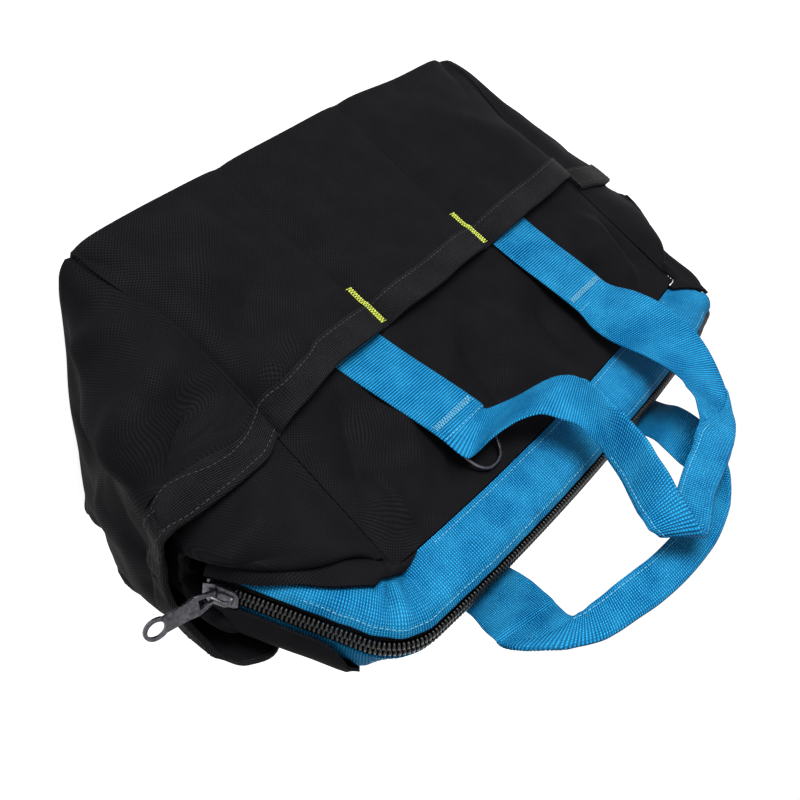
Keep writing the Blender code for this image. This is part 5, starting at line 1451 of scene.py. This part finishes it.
ring = tube("d_ring_wire", loop, RING_WIRE / 2, 14, black_metal, closed=True, guide=out)
dress(ring, "d_ring", "black_metal", "d_ring")

middle = RING_WIRE / 2 + RING_CLEARANCE + RING_TAB_THICKNESS / 2
profile = [ring_centre - out * middle - up * RING_TAB_TAIL * share for share in (1.0, 0.66, 0.33)]
for turn in np.radians(np.linspace(-90, 210, 25)):
    profile.append(ring_centre + out * middle * math.sin(turn) + up * middle * math.cos(turn))
tab_across = np.linspace(-0.5, 0.5, 13) * RING_TAB_WIDTH
tab_grid = np.array([[point + x_axis * x for point in profile] for x in tab_across])
ring_tab = sheet_mesh("d_ring_tape", tab_grid, -RING_TAB_THICKNESS / 2, RING_TAB_THICKNESS / 2, 1.0,
                      black_tape)[0]
dress(ring_tab, "bag", "black_tape", "d_ring_tab")
print("ring bar at, mm:", np.round(ring_centre * 1000, 1))

# %% [markdown]
# Stitching
# Rows of lockstitch hold everything. Each row is a line laid just above its cloth, and the stitch
# tree turns it into thread. The bar tacks are tight zigzags, in lime on the pockets.

# %% Handle stitching
def cross_line(side, end, z, lift, inset=2.0 * MM):
    """A line across a strap at a height."""
    out = wall_frame(side)[0]
    middle = strap_middle(side, end, z) + out * (WEBBING_THICKNESS + lift)
    reach = WEBBING_WIDTH / 2 - inset
    return np.array([middle + x_axis * reach * share for share in np.linspace(-1, 1, 40)])


def zigzag(line, way, width, count):
    """A zigzag along a line."""
    places = np.linspace(0.0, 1.0, count)
    run = lengths_along(line) / lengths_along(line)[-1]
    points = np.stack([np.interp(places, run, line[:, k]) for k in range(3)], axis=1)
    swing = np.where(np.arange(count) % 2 == 0, 0.5, -0.5)[:, None] * width
    return points + unit(np.asarray(way, float)) * swing


ZIGZAG_WIDTH = 3.4 * MM
strap_zigzags, strap_rows = [], []
for side in (-1, +1):
    up = wall_frame(side)[1]
    for end in (-1, +1):
        tack = cross_line(side, end, TACK_LINE_HEIGHT - 9 * MM, 0.25 * MM)
        strap_zigzags.append(zigzag(tack, up, ZIGZAG_WIDTH, 34))
        strap_rows.append(cross_line(side, end, TACK_LINE_HEIGHT - 1.5 * MM, 0.15 * MM))
for side, name in ((-1, "front"), (+1, "back")):
    top, bottom = HANDLE_FACES[side]
    folds = LINES[side][:, 6]
    grip = [k for k in range(len(folds)) if folds[k] > 0.97]
    rows = range(grip[0], grip[-1] + 1)
    for column in (3, -4):
        outside = np.array([top[k, column] for k in rows])
        away = np.array([top[k, column] - bottom[k, column] for k in rows])
        STITCH_LINES["pale_" + name].append(outside + unit(away) * 0.05 * MM)
print("grip stitch rows, mm:",
      [round(1000 * lengths_along(STITCH_LINES[key][0])[-1]) for key in ("pale_front", "pale_back")])

# %% Thread
# Pitch, length and thickness of one stitch.
LONG_STITCH = (3.2 * MM, 2.5 * MM, 0.5 * MM)
FINE_STITCH = (3.0 * MM, 2.5 * MM, 0.4 * MM)
STRAP_TACK_STITCH = (1.1 * MM, 1.7 * MM, 0.36 * MM)
LIME_TACK_STITCH = (1.0 * MM, 1.7 * MM, 0.5 * MM)


def stitches(name, lines, finish, body, slot, sizes):
    """Stitches along lines, as one piece on one body."""
    pitch, length, thickness = sizes
    made = grow(name, line_object(name + "_line", lines), STITCHES, STITCH_NAMES,
                {"Pitch": pitch, "Length": length, "Thickness": thickness, "Material": finish})
    return dress(made, body, slot)


stitches("tape_stitching", STITCH_LINES["tape"], grey_thread, "bag", "black_tape", LONG_STITCH)
stitches("divider_stitching", STITCH_LINES["divider"], black_thread, "bag", "black_cloth", LONG_STITCH)
stitches("mouth_stitching", STITCH_LINES["pale"] + strap_rows, pale_thread, "bag", "blue_webbing",
         FINE_STITCH)
for side_name in ("front", "back"):
    stitches(side_name + "_grip_stitching", STITCH_LINES["pale_" + side_name], pale_thread,
             side_name + "_handle", "blue_webbing", FINE_STITCH)
stitches("strap_tacks", strap_zigzags, pale_thread, "bag", "blue_webbing", STRAP_TACK_STITCH)

tack_rows = slice(len(heights) - 24, len(heights) - 1)
for side, side_name in ((-1, "front"), (+1, "back")):
    face, normals = pocket_faces[side]
    for end, end_name in ((+1, "right"), (-1, "left")):
        column = int(np.argmin(np.abs(columns - end * DIVIDER_SPACING / 2)))
        over_tape = ease((heights[tack_rows] - bound + TACK_WIDTH) / TACK_WIDTH)[:, None]
        lift = 0.35 * MM + over_tape * (BINDING_THICKNESS + CLOTH_GAP)
        line = face[column, tack_rows] + normals[column, tack_rows] * lift
        run = lengths_along(line)
        thread = zigzag(line[run[-1] - run < TACK_LENGTH], x_axis, ZIGZAG_WIDTH, 36)
        tack = stitches("%s_pocket_lime_tack_%s" % (side_name, end_name), [thread], lime_thread, "bag",
                        "lime_thread", LIME_TACK_STITCH)
        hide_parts("%s_pocket_tack_%s" % (side_name, end_name))
print("threads laid")

# %% [markdown]
# Floor, light and camera
# The bag stands on a plain white floor under large soft lamps. The floor and the surroundings show
# plain white to the camera without adding light to the bag.

# %% Floor and surroundings
FLOOR_GLOW, FILL_LIGHT, FLOOR_REACH = 0.87, 0.24, 30


def make_floor():
    """White floor that keeps the bag's shadow and otherwise shows as white."""
    finish = bpy.data.materials.new("white_studio_floor")
    finish.use_nodes = True
    tree = finish.node_tree
    shader = tree.nodes["Principled BSDF"]
    shader.inputs["Base Color"].default_value = (0.8, 0.8, 0.8, 1.0)
    shader.inputs["Roughness"].default_value = 1.0
    shader.inputs["Specular IOR Level"].default_value = 0.0
    seen = add_node(tree, "ShaderNodeLightPath")
    looked = add_node(tree, "ShaderNodeMath",
                      {0: seen.outputs["Is Camera Ray"], 1: seen.outputs["Is Glossy Ray"]},
                      operation="MAXIMUM").outputs[0]
    glow = add_node(tree, "ShaderNodeEmission",
                    {"Color": (1.0, 1.0, 1.0, 1.0), "Strength": multiply(tree, looked, FLOOR_GLOW)})
    both = add_node(tree, "ShaderNodeAddShader", {0: shader.outputs[0], 1: glow.outputs[0]})
    tree.links.new(both.outputs[0], tree.nodes["Material Output"].inputs["Surface"])
    mesh = bpy.data.meshes.new("floor")
    corners = [(x * FLOOR_REACH, y * FLOOR_REACH, 0) for x, y in ((-1, -1), (1, -1), (1, 1), (-1, 1))]
    mesh.from_pydata(corners, [], [(0, 1, 2, 3)])
    mesh.materials.append(finish)
    floor = bpy.data.objects.new("floor", mesh)
    floor.location.z = -0.05 * MM
    bpy.context.scene.collection.objects.link(floor)


def make_world():
    """Soft even light from all round, seen as white by the camera and by shiny surfaces."""
    world = bpy.data.worlds.new("studio")
    bpy.context.scene.world = world
    world.use_nodes = True
    tree = world.node_tree
    tree.nodes.clear()
    seen = add_node(tree, "ShaderNodeLightPath")
    direct = seen.outputs["Is Camera Ray"]
    for kind in ("Is Glossy Ray", "Is Transmission Ray"):
        either = add_node(tree, "ShaderNodeMath", {0: direct, 1: seen.outputs[kind]}, operation="MAXIMUM")
        direct = either.outputs[0]
    fill = add_node(tree, "ShaderNodeBackground", {"Color": (1.0, 1.0, 1.0, 1.0), "Strength": FILL_LIGHT})
    white = add_node(tree, "ShaderNodeBackground", {"Color": (1.0, 1.0, 1.0, 1.0), "Strength": 1.0})
    mixed = add_node(tree, "ShaderNodeMixShader", {0: direct, 1: fill.outputs[0], 2: white.outputs[0]})
    add_node(tree, "ShaderNodeOutputWorld", {0: mixed.outputs[0]})


make_floor()
make_world()
print("floor and surroundings made")

# %% Lamps
def soft_lamp(name, place, aim, size, power):
    """A large square lamp turned to a point."""
    lamp = bpy.data.lights.new(name, "AREA")
    lamp.size, lamp.energy = size, power
    item = bpy.data.objects.new(name, lamp)
    item.location = place
    item.rotation_euler = (Vector(aim) - Vector(place)).to_track_quat("-Z", "Y").to_euler()
    bpy.context.scene.collection.objects.link(item)
    return item


LAMPS = (  # name, place, point that it faces, size in metres and power in watts
    ("key", (0.32, -1.48, 0.36), (0.02, 0.0, 0.12), 0.65, 32.0),
    ("top", (0.1, -0.7, 1.7), (0.0, 0.0, 0.15), 1.0, 3.0),
    ("side", (1.8, 0.5, 0.8), (0.1, 0.0, 0.12), 1.1, 1.0),
    ("back", (-0.4, 1.6, 0.9), (0.0, 0.0, 0.12), 1.1, 9.0),
)
for row in LAMPS:
    soft_lamp(*row)
print("lamps:", len(LAMPS))

# %% Camera
CAMERA_PLACE = Vector((0.47495, -0.46812, 0.36025))
RIGHT, DOWN = (-0.57634, -0.14554, 0.80415), (0.50696, 0.70811, 0.49150)
FORWARD = (-0.64096, 0.69094, -0.33432)
FOCAL_PIXELS, FRAME_PIXELS = 1150.0, 800.0
lens = bpy.data.cameras.new("camera")
lens.sensor_width = 36.0
lens.lens = FOCAL_PIXELS * lens.sensor_width / FRAME_PIXELS
lens.clip_start, lens.clip_end = 0.01, 100.0
camera = bpy.data.objects.new("camera", lens)
turn = Matrix((Vector(RIGHT), -Vector(DOWN), -Vector(FORWARD))).transposed().to_4x4()
camera.matrix_world = Matrix.Translation(CAMERA_PLACE) @ turn
bpy.context.scene.collection.objects.link(camera)
bpy.context.scene.camera = camera
bpy.context.scene.view_settings.view_transform = "Standard"
print("lens, mm:", lens.lens)
